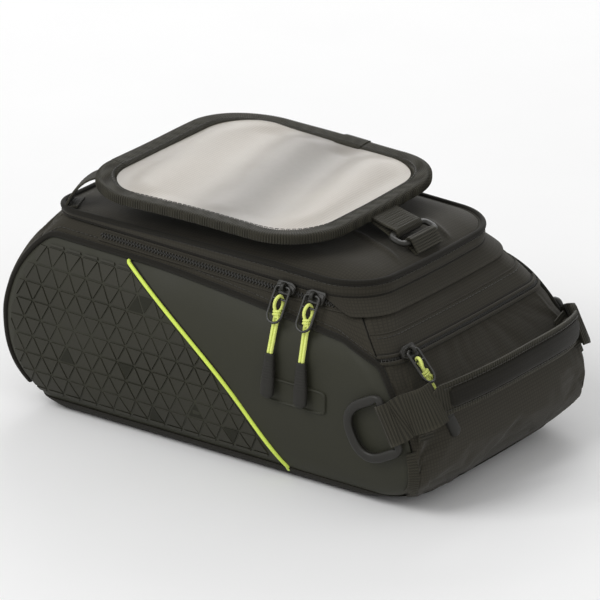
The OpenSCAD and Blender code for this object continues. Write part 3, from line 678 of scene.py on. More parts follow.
def node_tree(name, *numbers):
    """A tree with inputs for its numbers and its material, and the ways to add to it and to close it."""
    tree = bpy.data.node_groups.new(name, "GeometryNodeTree")
    inputs = [("Geometry", "NodeSocketGeometry")] + [(label, "NodeSocketFloat") for label in numbers]
    for label, kind in inputs + [("Material", "NodeSocketMaterial")]:
        tree.interface.new_socket(label, in_out="INPUT", socket_type=kind)
    tree.interface.new_socket("Geometry", in_out="OUTPUT", socket_type="NodeSocketGeometry")
    given = tree.nodes.new("NodeGroupInput").outputs
    sink = tree.nodes.new("NodeGroupOutput")

    def add(kind, settings=None, sockets=None):
        made = tree.nodes.new(kind)
        for key, value in (settings or {}).items():
            setattr(made, key, value)
        for key, value in (sockets or {}).items():
            for one in value if isinstance(value, list) else [value]:
                if isinstance(one, bpy.types.NodeSocket):
                    tree.links.new(one, made.inputs[key])
                else:
                    made.inputs[key].default_value = one
        return made.outputs

    def close(geometry):
        real = add("GeometryNodeRealizeInstances", {}, {0: geometry})
        done = add("GeometryNodeSetMaterial", {}, {"Geometry": real[0], "Material": given["Material"]})
        tree.links.new(done[0], sink.inputs[0])
        return tree

    return given, add, close


def even_points(given, add):
    """The mesh's lines as curves with a point at every pitch, and their tangent."""
    curve = add("GeometryNodeMeshToCurve", {}, {0: given["Geometry"]})
    spacing = {"Curve": curve[0], "Length": given["Pitch"]}
    even = add("GeometryNodeResampleCurve", {"mode": "LENGTH"}, spacing)
    return even[0], add("GeometryNodeInputTangent")[0]


def rods(add, points, way, sizes):
    """A small rod on each point, along the way given."""
    turn = add("FunctionNodeAlignRotationToVector", {"axis": "Z"}, {"Vector": way})
    rod = add("GeometryNodeMeshCylinder", {"fill_type": "TRIANGLE_FAN"}, sizes)
    placing = {"Points": points, "Instance": rod[0], "Rotation": turn[0]}
    return add("GeometryNodeInstanceOnPoints", {}, placing)[0]


def stitch_tree():
    """Stitches of a given length at a given pitch along each line of the mesh."""
    given, add, close = node_tree("stitch_run", "Pitch", "Length", "Thread")
    points, tangent = even_points(given, add)
    sizes = {"Vertices": 6, "Side Segments": 3, "Radius": given["Thread"], "Depth": given["Length"]}
    return close(rods(add, points, tangent, sizes))


def tooth_tree():
    """Zip teeth across a line, every other one to its other side; the line keeps its outward way in "out"."""
    given, add, close = node_tree("zip_teeth", "Pitch", "Width", "Thickness", "Stagger")
    points, tangent = even_points(given, add)
    outward = add("GeometryNodeInputNamedAttribute", {"data_type": "FLOAT_VECTOR"}, {"Name": "out"})[0]
    across = add("ShaderNodeVectorMath", {"operation": "CROSS_PRODUCT"}, {0: tangent, 1: outward})[0]
    reach = add("GeometryNodeInputIndex")[0]
    for operation, by in (("MODULO", 2.0), ("SUBTRACT", 0.5), ("MULTIPLY", given["Stagger"])):
        reach = add("ShaderNodeMath", {"operation": operation}, {0: reach, 1: by})[0]
    shift = add("ShaderNodeVectorMath", {"operation": "SCALE"}, {0: across, "Scale": reach})[0]
    set_off = add("GeometryNodeSetPosition", {}, {"Geometry": points, "Offset": shift})[0]
    sizes = {"Vertices": 8, "Radius": given["Thickness"], "Depth": given["Width"]}
    return close(rods(add, set_off, across, sizes))


def tile_tree():
    """Raises each face of the mesh as a closed tile with sloping sides."""
    given, add, close = node_tree("raised_tiles", "Height", "Top Share")
    up = add(
        "GeometryNodeExtrudeMesh", {"mode": "FACES"},
        {"Mesh": given["Geometry"], "Offset Scale": given["Height"], "Individual": True},
    )
    top = add(
        "GeometryNodeScaleElements", {"domain": "FACE"},
        {"Geometry": up["Mesh"], "Selection": up["Top"], "Scale": given["Top Share"]},
    )
    under = add("GeometryNodeFlipFaces", {}, {0: given["Geometry"]})
    both = add("GeometryNodeJoinGeometry", {}, {0: [top[0], under[0]]})
    return close(add("GeometryNodeMergeByDistance", {}, {"Geometry": both[0], "Distance": 1e-6})[0])


def nub_tree():
    """Low studs on each point of the mesh."""
    given, add, close = node_tree("grip_studs", "Radius", "Height")
    stud = add(
        "GeometryNodeMeshCone", {"fill_type": "TRIANGLE_FAN"},
        {"Vertices": 8, "Radius Top": given["Radius"], "Radius Bottom": 0.0009, "Depth": given["Height"]},
    )
    placing = {"Points": given["Geometry"], "Instance": stud[0]}
    return close(add("GeometryNodeInstanceOnPoints", {}, placing)[0])


TREES = {}


def grown(name, source, tree, **values):
    """Runs a Geometry Nodes tree on a mesh and returns its result as a plain mesh."""
    if tree not in TREES:
        TREES[tree] = tree()
    group = TREES[tree]
    carrier = bpy.data.objects.new(name + "_source", source)
    bpy.context.scene.collection.objects.link(carrier)
    modifier = carrier.modifiers.new("grow", "NODES")
    modifier.node_group = group
    names = {s.name: s.identifier for s in group.interface.items_tree if s.in_out == "INPUT"}
    for key, value in values.items():
        modifier[names[key.replace("_", " ")]] = value
    bpy.context.view_layer.update()
    ready = carrier.evaluated_get(bpy.context.evaluated_depsgraph_get())
    mesh = bpy.data.meshes.new_from_object(ready)
    mesh.name = name
    bpy.data.objects.remove(carrier)
    bpy.data.meshes.remove(source)
    if not len(mesh.polygons):
        raise RuntimeError(name + ": the tree made no faces")
    return mesh


def line_mesh(lines, outs=None):
    """A mesh of open lines, in millimetres, with their outward ways if given."""
    points, edges, ways = [], [], []
    for i, line in enumerate(lines):
        base = len(points)
        points += (np.asarray(line) * MM).tolist()
        edges += [(base + k, base + k + 1) for k in range(len(line) - 1)]
        if outs is not None:
            ways += np.asarray(outs[i]).tolist()
    mesh = bpy.data.meshes.new("lines")
    mesh.from_pydata(points, edges, [])
    if outs is not None:
        layer = mesh.attributes.new("out", "FLOAT_VECTOR", "POINT")
        layer.data.foreach_set("vector", np.asarray(ways, np.float32).reshape(-1))
    return mesh


def sewn(name, lines, body):
    s = bpy.context.scene.tank_bag_sizes
    mesh = grown(
        name, line_mesh(lines), stitch_tree,
        Pitch=s.stitch_pitch, Length=s.stitch_length, Thread=s.thread_radius,
        Material=FINISH["thread"],
    )
    smooth(mesh, 60)
    piece(name, mesh, body, "dark_cloth")


# Size of a zip tooth and how far two neighbours stand apart across the zip, in metres
TOOTH_WIDTH = 0.0026
TOOTH_RADIUS = 0.00052
TOOTH_STAGGER = 0.0013


def zip_teeth(name, line, out, body, *nodes):
    s = bpy.context.scene.tank_bag_sizes
    mesh = grown(
        name, line_mesh([line], [out]), tooth_tree, Pitch=s.tooth_pitch, Width=TOOTH_WIDTH,
        Thickness=TOOTH_RADIUS, Stagger=TOOTH_STAGGER, Material=FINISH["plastic"],
    )
    smooth(mesh, 60)
    piece(name, mesh, body, "hard_plastic", *nodes)


# Settings


def length(name, note, value):
    return bpy.props.FloatProperty(name=name, description=note, default=value, precision=5, unit="LENGTH")


def colour(name, note, code):
    parts = [int(code[i : i + 2], 16) / 255 for i in (1, 3, 5)]
    linear = [p / 12.92 if p <= 0.04045 else ((p + 0.055) / 1.055) ** 2.4 for p in parts]
    return bpy.props.FloatVectorProperty(
        name=name, description=note, default=linear, size=3, min=0, max=1, subtype="COLOR"
    )


class TankBagSizes(bpy.types.PropertyGroup):
    """Sizes of the details that repeat."""

    tile_side: length("Tile side", "Side of the raised triangles on the side panels", 0.0152)
    tile_groove: length("Tile groove", "Width of the groove between two triangles", 0.001)
    tile_height: length("Tile height", "Height of the triangles over the panel", 0.0004)
    rib_pitch: length("Rib pitch", "Distance between two ribs of the webbing", 0.0021)
    stitch_pitch: length("Stitch pitch", "Distance from one stitch to the next", 0.0040)
    stitch_length: length("Stitch length", "Length of one stitch", 0.0029)
    thread_radius: length("Thread radius", "Radius of the sewing thread", 0.00028)
    tooth_pitch: length("Tooth pitch", "Distance from one zip tooth to the next", 0.0013)
    window_wave: length("Window wave", "Height of the waves of the clear window", 0.0024)
    pocket_puff: length("Pocket puff", "How far the stuffed front pocket may swell", 0.0045)


class TankBagColours(bpy.types.PropertyGroup):
    """Colours of the finishes."""

    cloth: colour("Cloth", "Shell cloth of lid, gussets and front", "#35322a")
    panel: colour("Panel", "Moulded skin of the side panels and lid", "#27271c")
    tile: colour("Tile", "Raised triangles on the side panels", "#28271e")
    dark_cloth: colour("Dark cloth", "Welts, tapes and base", "#1f1d18")
    lining: colour("Lining", "Cloth inside the bag and the lid", "#2a2a26")
    webbing: colour("Webbing", "Straps, bindings and handle", "#2e2c24")
    plastic: colour("Plastic", "Sliders, rings and pull ends", "#1f1e1a")
    lime: colour("Lime", "Piping of the side panels", "#cde25a")
    cord: colour("Cord", "Pull cords", "#e6f07f")
    window: colour("Window", "Clear window of the map pocket", "#a39c92")
    thread: colour("Thread", "Sewing thread", "#2a2822")


# Cloth


STUFFING_FRAMES = 20
STUFFING = {
    "quality": 6,
    "mass": 0.25,
    "tension_stiffness": 12,
    "compression_stiffness": 12,
    "bending_stiffness": 0.6,
    "shrink_min": -0.035,
    "use_pressure": True,
}


def stuffed(obj, pinned, pressure, cap):
    """Blows a pinned sheet up as cloth and keeps each point within cap of its start, in metres."""
    start = np.zeros(len(obj.data.vertices) * 3)
    obj.data.vertices.foreach_get("co", start)
    group = obj.vertex_groups.new(name="sewn")
    group.add([int(i) for i in pinned], 1.0, "REPLACE")
    cloth = obj.modifiers.new("stuffing", "CLOTH")
    for key, value in STUFFING.items():
        setattr(cloth.settings, key, value)
    cloth.settings.uniform_pressure_force = pressure
    cloth.settings.vertex_group_mass = "sewn"
    cloth.settings.effector_weights.gravity = 0
    cloth.point_cache.frame_start = 1
    cloth.point_cache.frame_end = STUFFING_FRAMES
    for f in range(1, STUFFING_FRAMES + 1):
        bpy.context.scene.frame_set(f)
    ready = obj.evaluated_get(bpy.context.evaluated_depsgraph_get())
    moved = np.zeros(len(start))
    ready.data.vertices.foreach_get("co", moved)
    step = (moved - start).reshape(-1, 3)
    far = np.linalg.norm(step, axis=1, keepdims=True)
    step *= np.minimum(1, cap / np.maximum(far, 1e-9))
    obj.modifiers.remove(cloth)
    obj.vertex_groups.remove(group)
    bpy.context.scene.frame_set(1)
    return start.reshape(-1, 3) + step


def cloth_sheet(g, pressure, cap):
    """The grid, in millimetres, after its inside was stuffed; its border stays sewn down."""
    n, m = g.shape[:2]
    sheet = Build()
    sheet.grid(g)
    mesh = bpy.data.meshes.new("sheet")
    mesh.from_pydata((g.reshape(-1, 3) * MM).tolist(), [], sheet.faces)
    obj = bpy.data.objects.new("sheet", mesh)
    bpy.context.scene.collection.objects.link(obj)
    index = np.arange(n * m).reshape(n, m)
    border = np.concatenate([index[0], index[-1], index[:, 0], index[:, -1]])
    result = stuffed(obj, border, pressure, cap).reshape(n, m, 3) / MM
    bpy.data.objects.remove(obj)
    bpy.data.meshes.remove(mesh)
    return result


def border_distance(g):
    """Distance of each point of a grid from the grid's border, in millimetres."""
    a = np.cumsum(np.linalg.norm(np.diff(g, axis=0, prepend=g[:1]), axis=2), axis=0)
    b = np.cumsum(np.linalg.norm(np.diff(g, axis=1, prepend=g[:, :1]), axis=2), axis=1)
    return np.minimum.reduce([a, a[-1:] - a, b, b[:, -1:] - b])


def rolled(e, depth, reach):
    """How far a turned-in edge falls at distance e from a border."""
    return depth * (1 - np.sqrt(np.clip(1 - np.clip(1 - e / reach, 0, 1) ** 2, 0, 1)))


def padded_wall(turns, low, high, rows, puff, thick, seed, roll=1.4):
    """Outer and inner grids of a sewn wall panel that stands proud between its seams."""
    share = np.linspace(0, 1, rows)
    z = low[:, None] + (high - low)[:, None] * share
    g = wall(turns[:, None], z)
    n = normals(g)
    e = border_distance(g)
    lift = puff * ease(e / 22) - rolled(e, roll, 3.0) + 0.35 * uneven(g, 17.0, seed) * ease(e / 12)
    outer = g + n * lift[..., None]
    return outer, g - n * thick, np.exp(-e / 2.2)


# Where the pieces lie round the outline
SIDE_TURNS = stretches((PANEL_REAR, 0, 26), (0, 1, 120), (1, PANEL_FRONT, 34))
FRONT_TURNS = stretches((1.468, 2, 32), (2, 3, 70), (3, 3.532, 32))
REAR_TURNS = stretches((5.468, 6, 22), (6, 7, 76), (7, 7.532, 22))
POCKET_TURNS = stretches((1.49, 2, 24), (2, 3, 70), (3, 3.51, 24))
FLAP_TURNS = stretches((1.03, 2, 40), (2, 3, 60), (3, 3.97, 40))
ZIP_TURNS = stretches((0.14, 1, 90), (1, 2, 40), (2, 3, 60), (3, 4, 40), (4, 4.86, 90))
RING_TURNS = np.concatenate(
    [np.linspace(k, k + 1, n, endpoint=False) for k, n in enumerate((90, 26, 60, 26, 90, 16, 60, 16))]
)

# Heights across a zip's tape, from its middle
TAPE_ACROSS = np.linspace(-3.5, 3.5, 9)

# Rows and columns of triangles, the height they start from and the least area that is kept of one
TILE_ROWS = range(0, 11)
TILE_COLUMNS = range(-14, 10)
TILE_START = 4.0
TILE_LEAST = 16

# Length round a rear corner, and the bare margins of the side panel at its rear, top, foot and piping
CORNER_RUN = 28.3
TILE_MARGINS = (8.0, 7.0, 9.0, 4.6)

# Middles of the smooth triangles, along the side panel and up it
SMOOTH_SPOTS = np.array([
    (-108, 111), (-57, 102), (-66, 56), (-121, 45), (-90, 34), (-42, 19), (-11, 36), (24, 23), (-150, 84.0),
])
SMOOTH_REACH = 5.2

# Distance between the studs under the base
STUD_PITCH = 9.0


class PieceOperator:
    """Shared by the operators: each makes its pieces and reports them done."""

    bl_options = {"REGISTER"}

    def execute(self, context):
        self.make(context.scene.tank_bag_sizes)
        return {"FINISHED"}


class TANKBAG_OT_side_panels(PieceOperator, bpy.types.Operator):
    """Makes the moulded side panels with their raised triangles"""

    bl_idname = "tankbag.side_panels"
    bl_label = "Side panels"

    def make(self, s):
        low = np.full(len(SIDE_TURNS), WALL_LOW + 0.2)
        high = panel_edge(SIDE_TURNS) - 0.3
        outer, inner, edge = padded_wall(SIDE_TURNS, low, high, 76, 0.7, 3.4, 1.0)
        for side in SIDES:
            b = Build()
            b.slab(mirrored(outer, side), mirrored(inner, side), edge)
            skin = b.piece(side + "_panel_skin", "moulded", 60, "bag", "moulded_panel", side + "_side_panel")
            for dark, finish, rise in ((False, "tile", 1.0), (True, "dark_tile", 0.35)):
                name = side + ("_smooth_tiles" if dark else "_raised_tiles")
                source = self.tiles(s, side, dark)
                mesh = grown(
                    name, source, tile_tree, Height=s.tile_height * rise + 0.0004, Top_Share=0.94,
                    Material=FINISH[finish],
                )
                smooth(mesh, 25)
                piece(name, mesh, "bag", "moulded_panel")

    @staticmethod
    def turn_at(a, z):
        """The turn of the outline at a distance a along the side, over the rear corner too."""
        start = REAR_ROUND - rear_reach(z)
        end = front_reach(z) - front_round(z)
        return np.where(a >= start, (a - start) / (end - start), (a - start) / (REAR_ROUND * math.pi / 2))

    def tiles(self, s, side, dark):
        length_ = s.tile_side / MM
        height = length_ * math.sqrt(3) / 2
        groove = s.tile_groove / MM / 2
        rear, top, foot, fore = TILE_MARGINS
        inside = [
            lambda a, z: self.turn_at(a, z) * CORNER_RUN - (PANEL_REAR * CORNER_RUN + rear),
            lambda a, z: panel_edge(np.clip(self.turn_at(a, z), PANEL_REAR, PANEL_FRONT)) - top - z,
            lambda a, z: z - WALL_LOW - foot,
            lambda a, z: piping_x(z) - fore - a,
        ]
        polygons = []
        for row in TILE_ROWS:
            for col in TILE_COLUMNS:
                for up in (0, 1):
                    x = (col + 0.5 * (row % 2) + 0.5 * (1 - up)) * length_
                    z = TILE_START + row * height
                    tip = height if up else -height
                    base = z if up else z + height
                    flat = np.array([[x, base], [x + length_, base], [x + length_ / 2, base + tip]])
                    if not up:
                        flat = flat[::-1]
                    middle = flat.mean(0)
                    if bool(np.hypot(*(SMOOTH_SPOTS - middle).T).min() < SMOOTH_REACH) != dark:
                        continue
                    flat = middle + (flat - middle) * (1 - groove / (height / 3))
                    steps = np.linspace(0, 1, 4)[:3, None]
                    flat = np.concatenate([lerp(flat[i], flat[(i + 1) % 3], steps) for i in range(3)])
                    flat = self.clipped(flat, inside)
                    if len(flat) > 2 and self.area(flat) > TILE_LEAST:
                        polygons.append(flat)
        points, faces = [], []
        for flat in polygons:
            a, z = flat[:, 0], flat[:, 1]
            near = ((0, 0), (0.4, 0), (0, 0.4))
            g = np.stack([wall(self.turn_at(a + da, z + dz), z + dz) for da, dz in near])
            n = unit(np.cross(g[1] - g[0], g[2] - g[0]))
            p = mirrored(g[0] + n * 0.5, side)
            order = range(len(p)) if side == "right" else range(len(p) - 1, -1, -1)
            faces.append([len(points) + i for i in order])
            points += (p * MM).tolist()
        mesh = bpy.data.meshes.new("tiles")
        mesh.from_pydata(points, [], faces)
        return mesh

    @staticmethod
    def area(p):
        q = np.roll(p, -1, 0)
        return abs((p[:, 0] * q[:, 1] - q[:, 0] * p[:, 1]).sum()) / 2

    @staticmethod
    def clipped(polygon, inside):
        """The polygon cut back to where each function is above zero."""
        for f in inside:
            if len(polygon) < 3:
                return polygon
            value = f(polygon[:, 0], polygon[:, 1])
            kept = []
            for i in range(len(polygon)):
                j = (i + 1) % len(polygon)
                if value[i] >= 0:
                    kept.append(polygon[i])
                if (value[i] >= 0) != (value[j] >= 0):
                    kept.append(lerp(polygon[i], polygon[j], value[i] / (value[i] - value[j])))
            polygon = np.array(kept).reshape(-1, 2)
        return polygon


class TANKBAG_OT_shell(PieceOperator, bpy.types.Operator):
    """Makes the sewn cloth of the bag: gussets, front, rear, base and lining"""

    bl_idname = "tankbag.shell"
    bl_label = "Cloth shell"

    def make(self, s):
        low = panel_edge(SIDE_TURNS) + 0.3
        high = np.full(len(low), LIP_Z - 0.2)
        outer, inner, edge = padded_wall(SIDE_TURNS, low, high, 26, 0.35, 3.2, 2.0, 0.9)
        for side in SIDES:
            b = Build()
            b.slab(mirrored(outer, side), mirrored(inner, side), edge)
            b.piece(side + "_gusset_cloth", "cloth", 60, "bag", "shell_cloth", side + "_zip_gusset")
        for name, turns, seed, node in (
            ("front_cloth", FRONT_TURNS, 3.0, "front_panel"), ("rear_cloth", REAR_TURNS, 4.0, "rear_panel")
        ):
            ones = np.ones(len(turns))
            outer, inner, edge = padded_wall(turns, WALL_LOW * ones, (LIP_Z - 0.2) * ones, 70, 0.4, 3.4, seed)
            if node == "rear_panel":
                outer = cloth_sheet(outer, 2.0, 0.0028)
            b = Build()
            b.slab(outer, inner, edge)
            obj = b.piece(name, "cloth", 60, "bag", "shell_cloth", node)
        self.base()
        self.lining()

    def base(self):
        b = Build()
        profile = [
            (0.9, 9.0), (0.9, 4.5), (0.35, 3.0), (0.0, 1.8), (0.5, 0.3), (1.6, -0.7),
            (3.2, -1.3), (6.0, -1.8), (8.0, -1.9), (8.8, -1.3), (9.0, 0.4), (6.0, 3.0),
        ]
        rows = looped(np.stack([wall(RING_TURNS, z, d) for z, d in profile], 1))
        b.grid(rows)
        b.disc(rows[:-1, 0][::-1], 10)
        b.disc(rows[:-1, -1], 6)
        b.piece("base_skirt", "base", 50, "bag", "dark_cloth", "base_panel")
        spots = []
        for i, x in enumerate(np.arange(-138, 140, STUD_PITCH)):
            for y in np.arange(-76 + STUD_PITCH / 2 * (i % 2), 78, STUD_PITCH):
                spots.append([x, y, 0.5])
        source = bpy.data.meshes.new("studs")
        source.from_pydata((np.array(spots) * MM).tolist(), [], [])
        mesh = grown("base_studs", source, nub_tree, Radius=0.0022, Height=0.0009, Material=FINISH["base"])
        smooth(mesh, 40)
        piece("base_studs", mesh, "bag", "dark_cloth")

    def lining(self):
        b = Build()
        heights = np.linspace(8.2, LIP_Z - 1, 40)
        outer = wall(RING_TURNS[:, None], heights, 5.7)
        n = normals(outer)
        inner = outer - n * 0.9 + n * (0.35 * uneven(outer, 15, 5.0))[..., None]
        outer, inner = looped(outer), looped(inner)
        floor_edge = inner[:, 0] + np.array([0, 0, 0.9])
        b.grid(outer)
        b.grid(inner[:, ::-1])
        b.grid(np.stack([outer[:, -1], inner[:, -1]], 1))
        b.disc(outer[:-1, 0][::-1], 8)
        b.disc(floor_edge[:-1], 8)
        b.grid(np.stack([floor_edge, inner[:, 0]], 1))
        hem = wall(RING_TURNS, LIP_Z - 1.2, 6.2)
        b.tube(hem, 1.0, sides=10, closed=True, slot=1)
        b.piece("lining_cloth", "lining dark", 60, "bag", "lining_cloth", "lining")
        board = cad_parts["base_board"]
        board.data.materials.clear()
        board.data.materials.append(FINISH["plastic"])


class TANKBAG_OT_trim(PieceOperator, bpy.types.Operator):
    """Makes the welts, the lime pipings, the corner bindings and the bare patch"""

    bl_idname = "tankbag.trim"
    bl_label = "Trim"

    def make(self, s):
        rear_z = np.linspace(18, panel_edge(np.array(PANEL_REAR)) - 1, 40)
        front_z = np.linspace(panel_edge(np.array(PANEL_FRONT)) - 1, 88, 12)
        turns = np.linspace(PANEL_REAR, PANEL_FRONT, 260)
        welt = np.concatenate([
            wall(PANEL_REAR - 0.004, rear_z, -1.0),
            wall(turns, panel_edge(turns), -1.0),
            wall(PANEL_FRONT + 0.004, front_z, -1.0),
        ])
        welt = resample(welt, 1.6)
        welt[2:-2] = (welt[:-4] + welt[1:-3] + welt[2:-2] + welt[3:-1] + welt[4:]) / 5
        z = lerp(128.6, 7.0, np.linspace(0, 1, 110))
        line = lean(piping_x(z), -half_width(z) - 0.85, z)
        for side in SIDES:
            b = Build()
            b.tube(mirrored(welt, side), 2.2, sides=14)
            b.piece(side + "_panel_welt", "dark", 60, "bag", "dark_cloth", side + "_welt")
            b = Build()
            b.tube(mirrored(line, side), 1.55, sides=14)
            out = mirrored(np.array([0, -1.0, 0]), side)
            flange = mirrored(line, side) - out * 0.4
            b.ribbon(flange, out, 5.2, 0.5, 2.0, 0.0, slot=1)
            b.piece(side + "_lime_piping", "lime dark", 60, "bag", "lime_trim", side + "_piping")
            self.corner(side)
        self.patch()

    def corner(self, side):
        z = np.linspace(17, 52, 60)
        turn = PANEL_FRONT - 0.03
        path = wall(turn, z, -1.5)
        out = unit(wall(turn, z, -3.0) - wall(turn, z, 0.0))
        b = Build()
        b.ribbon(mirrored(path, side), mirrored(out, side), 7.6, 1.3, 1.5, 0.25)
        b.piece(side + "_corner_tape", "webbing", 60, "bag", "webbing", side + "_corner_binding")

    def patch(self):
        """A bare moulded patch with a raised rim, bent to the panel."""
        b = Build()
        half_l, half_h = 28.0, 9.0
        angles = np.linspace(0, TAU, 96, endpoint=False)
        along, up = squared(np.cos(angles), 0.22), squared(np.sin(angles), 0.32)
        outline = np.stack([along * half_l, up * half_h], 1)

        def at(flat, rise):
            z = 71 + flat[:, 1]
            return lean(78 + flat[:, 0], -half_width(z) - rise, z)

        shrink = np.array([1 / half_l, 1 / half_h])
        rings = []
        for inset, rise in ((0, -0.2), (0, 1.2), (0.3, 1.9), (0.9, 2.2), (1.5, 1.9), (1.9, 1.2), (2.6, 1.1)):
            rings.append(at(outline * (1 - inset * shrink), rise))
        for share in (0.8, 0.6, 0.4, 0.2, 0.03):
            rings.append(at(outline * (1 - 2.6 * shrink) * share, 1.1))
        g = np.stack(rings, 1)[::-1]
        b.grid(looped(g))
        b.face(g[:, -1])
        b.piece("bare_patch", "moulded", 50, "bag", "hard_plastic", "side_patch")


class TANKBAG_OT_front_pocket(PieceOperator, bpy.types.Operator):
    """Makes the stuffed front pocket and its zip"""

    bl_idname = "tankbag.front_pocket"
    bl_label = "Front pocket"

    def make(self, s):
        turns = POCKET_TURNS[:, None]
        z = np.linspace(8.0, POCKET_ZIP_Z - 2.2, 66)
        plain = wall(turns, z, -0.6)
        g = plain
        n = normals(g)
        e = border_distance(g)
        lift = 1.6 * ease(e / 26) + 1.1 - rolled(e, 1.0, 3.0)
        droop = 1.4 * np.exp(-(((z - 30) / 22) ** 2)) * ease(e / 20)
        creases = 0.27 * np.sin(z / 9.0 + 0.8 * np.sin(g[..., 1] / 23)) * ease(e / 16)
        g = g + n * (lift + droop + creases)[..., None]
        g = cloth_sheet(g, 3.0, s.pocket_puff)
        g = plain + (g - plain) * lerp(0.35, 1, ease((POCKET_ZIP_Z - 6 - z) / 52))[:, None]
        b = Build()
        b.slab(g, wall(turns, z, -0.5), np.exp(-e / 2.0))
        pocket = b.piece("front_pocket_cloth", "cloth", 60, "bag", "shell_cloth", "front_pocket")
        turns = np.linspace(1.48, 3.52, 200)
        b = Build()
        z = POCKET_ZIP_Z + TAPE_ACROSS
        b.slab(wall(turns[:, None], z, -1.15), wall(turns[:, None], z, -0.3))
        for rise in (1.7, -2.0):
            b.tube(resample(wall(turns, POCKET_ZIP_Z + rise, -2.1), 2.0), 1.3, sides=10, slot=1)
        z = POCKET_ZIP_Z + np.linspace(1.8, 13.5, 12)
        b.slab(wall(turns[:, None], z, -0.9), wall(turns[:, None], z, -0.2), None, 1)
        b.tube(resample(wall(turns, z[-1], -0.7), 2.0), 0.7, sides=8, slot=1)
        b.piece("pocket_zip_lips", "tape cloth", 60, "bag", "dark_cloth", "pocket_zip_tape")
        line = resample(wall(turns, POCKET_ZIP_Z, -1.7), 1.0)
        out = np.tile([0.8, 0, 0.6], (len(line), 1))
        zip_teeth("pocket_zip_teeth", line, out, "bag", "pocket_zip_coil")


# The lid's crown: the height it starts from, its rise and how far in from the edge it reaches
CROWN_LOW = 11.6
CROWN_RISE = 6.2
CROWN_REACH = 24


class TANKBAG_OT_lid(PieceOperator, bpy.types.Operator):
    """Makes the lid: its edge band, moulded top, lining and cloth hinge"""

    bl_idname = "tankbag.lid"
    bl_label = "Lid"

    def make(self, s):
        b = Build()
        section = [
            (0.5, 1.9), (0.4, -0.9), (1.2, -1.8), (3.0, -2.25), (5.5, -2.45), (8.0, -2.2), (9.3, -1.5),
            (9.9, -0.9), (11.8, -0.4), (12.0, 1.0), (11.8, 1.9), (6.0, 1.9),
        ]
        g = np.stack([lid_point(RING_TURNS, h, d) for h, d in section], 1)
        b.grid(looped(looped(g), 1))
        b.tube(lid_point(RING_TURNS, 11.4, -0.9), 2.2, sides=14, closed=True, slot=1)
        b.tube(lid_point(RING_TURNS, 1.0, -1.4), 1.0, sides=10, closed=True, slot=1)
        self.storm_flap(b)
        b.piece("lid_edge_band", "cloth dark", 60, "lid", "shell_cloth", "lid_band")
        self.top()
        b = Build()
        low = lid_point(RING_TURNS, 0.4, LID_IN)
        high = lid_point(RING_TURNS, 2.4, LID_IN)
        b.grid(looped(np.stack([low, high], 1)))
        b.disc(low[::-1], 12)
        b.disc(high, 4)
        b.piece("lid_lining_cloth", "lining", 60, "lid", "lining_cloth", "lid_lining")
        self.hinge()

    @staticmethod
    def storm_flap(b):
        """The band reaches down over the zip round the front."""
        turns = FLAP_TURNS
        share = np.linspace(0, 1, 12)
        foot = lerp(LIP_Z - 0.5, ZIP_Z - 4.6, ease(np.minimum(turns - turns[0], turns[-1] - turns) / 0.3))
        z = lerp(LIP_Z + 1.6, foot[:, None], share)
        fall = lerp(-2.6, -3.3, share) - 0.5 * np.exp(-(((share - 0.96) / 0.06) ** 2))
        b.slab(wall(turns[:, None], z, fall), wall(turns[:, None], z, fall + 0.9))

    def top(self):
        """The moulded top: a crowned skin with two creases beside the front strap."""
        start = LID_IN + 0.2
        rings = [lid_point(RING_TURNS, 3.0, start), lid_point(RING_TURNS, 11.0, start)]
        for d in stretches((0, 6, 10), (6, CROWN_REACH, 16)):
            share = 1 - (1 - min(1, d / CROWN_REACH)) ** 2
            rings.append(lid_point(RING_TURNS, CROWN_LOW + CROWN_RISE * share, start + d))
        last = rings[-1]
        middle = np.array([-14, 0])
        for share in np.linspace(1, 0.02, 46)[1:]:
            p = last.copy()
            p[:, :2] = middle + (last[:, :2] - middle) * share
            flat = LIP_Z + lid_height(p[:, 0], CROWN_LOW + CROWN_RISE + 0.8 * (1 - share))
            p[:, 2] = flat * (1 - FALL * p[:, 0])
            rings.append(p)
        g = np.stack(rings, 1)
        x, y = g[..., 0], g[..., 1]
        lift = 0.25 * uneven(g, 24, 6.0)
        for first, last, rise in (((58, -12), (119, -34), 1.7), ((84, 39), (119, 26), 1.5)):
            lift = lift + rise * self.crease(x, y, np.array(first, float), np.array(last, float))
        lift[:, :3] = 0
        g[..., 2] += lift
        b = Build()
        b.grid(looped(g), uv=looped(g)[..., :2])
        b.face(g[:, -1], g[:, -1, :2])
        b.disc(g[::-1, 0], 4)
        skin = b.piece("lid_top_skin", "cloth", 50, "lid", "moulded_panel", "lid_panel", "lid_foam")

    @staticmethod
    def crease(x, y, a, b):
        way = b - a
        t = np.clip(((x - a[0]) * way[0] + (y - a[1]) * way[1]) / way.dot(way), 0, 1)
        far = np.hypot(x - a[0] - t * way[0], y - a[1] - t * way[1])
        return np.exp(-((far / 2.1) ** 2)) * ease(t / 0.25) * ease((1 - t) / 0.2)

    def hinge(self):
        """A fold of cloth behind the lid."""
        y = np.linspace(-46, 46, 60)
        knots = [
            (-152.6, 134.5), (-152.9, 140.5), (-153.9, 145.0), (-154.2, 147.5),
            (-153.9, 149.4), (-153.2, 151.2), (-152.7, 152.6),
        ]
        path = curve_through([(x, 0, z) for x, z in knots], 8)
        out = unit(np.cross(np.gradient(path, axis=0), np.array([0, 1.0, 0])))
        out = out * np.sign(-out[:, :1])
        outer = np.stack([path + out * 0.5 + np.array([0, v, 0]) for v in y])
        inner = outer - out * 0.9
        b = Build()
        b.slab(outer, inner)
        obj = b.piece("hinge_cloth", "cloth", 60, None, None)
        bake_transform(obj)
        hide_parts("lid_hinge")


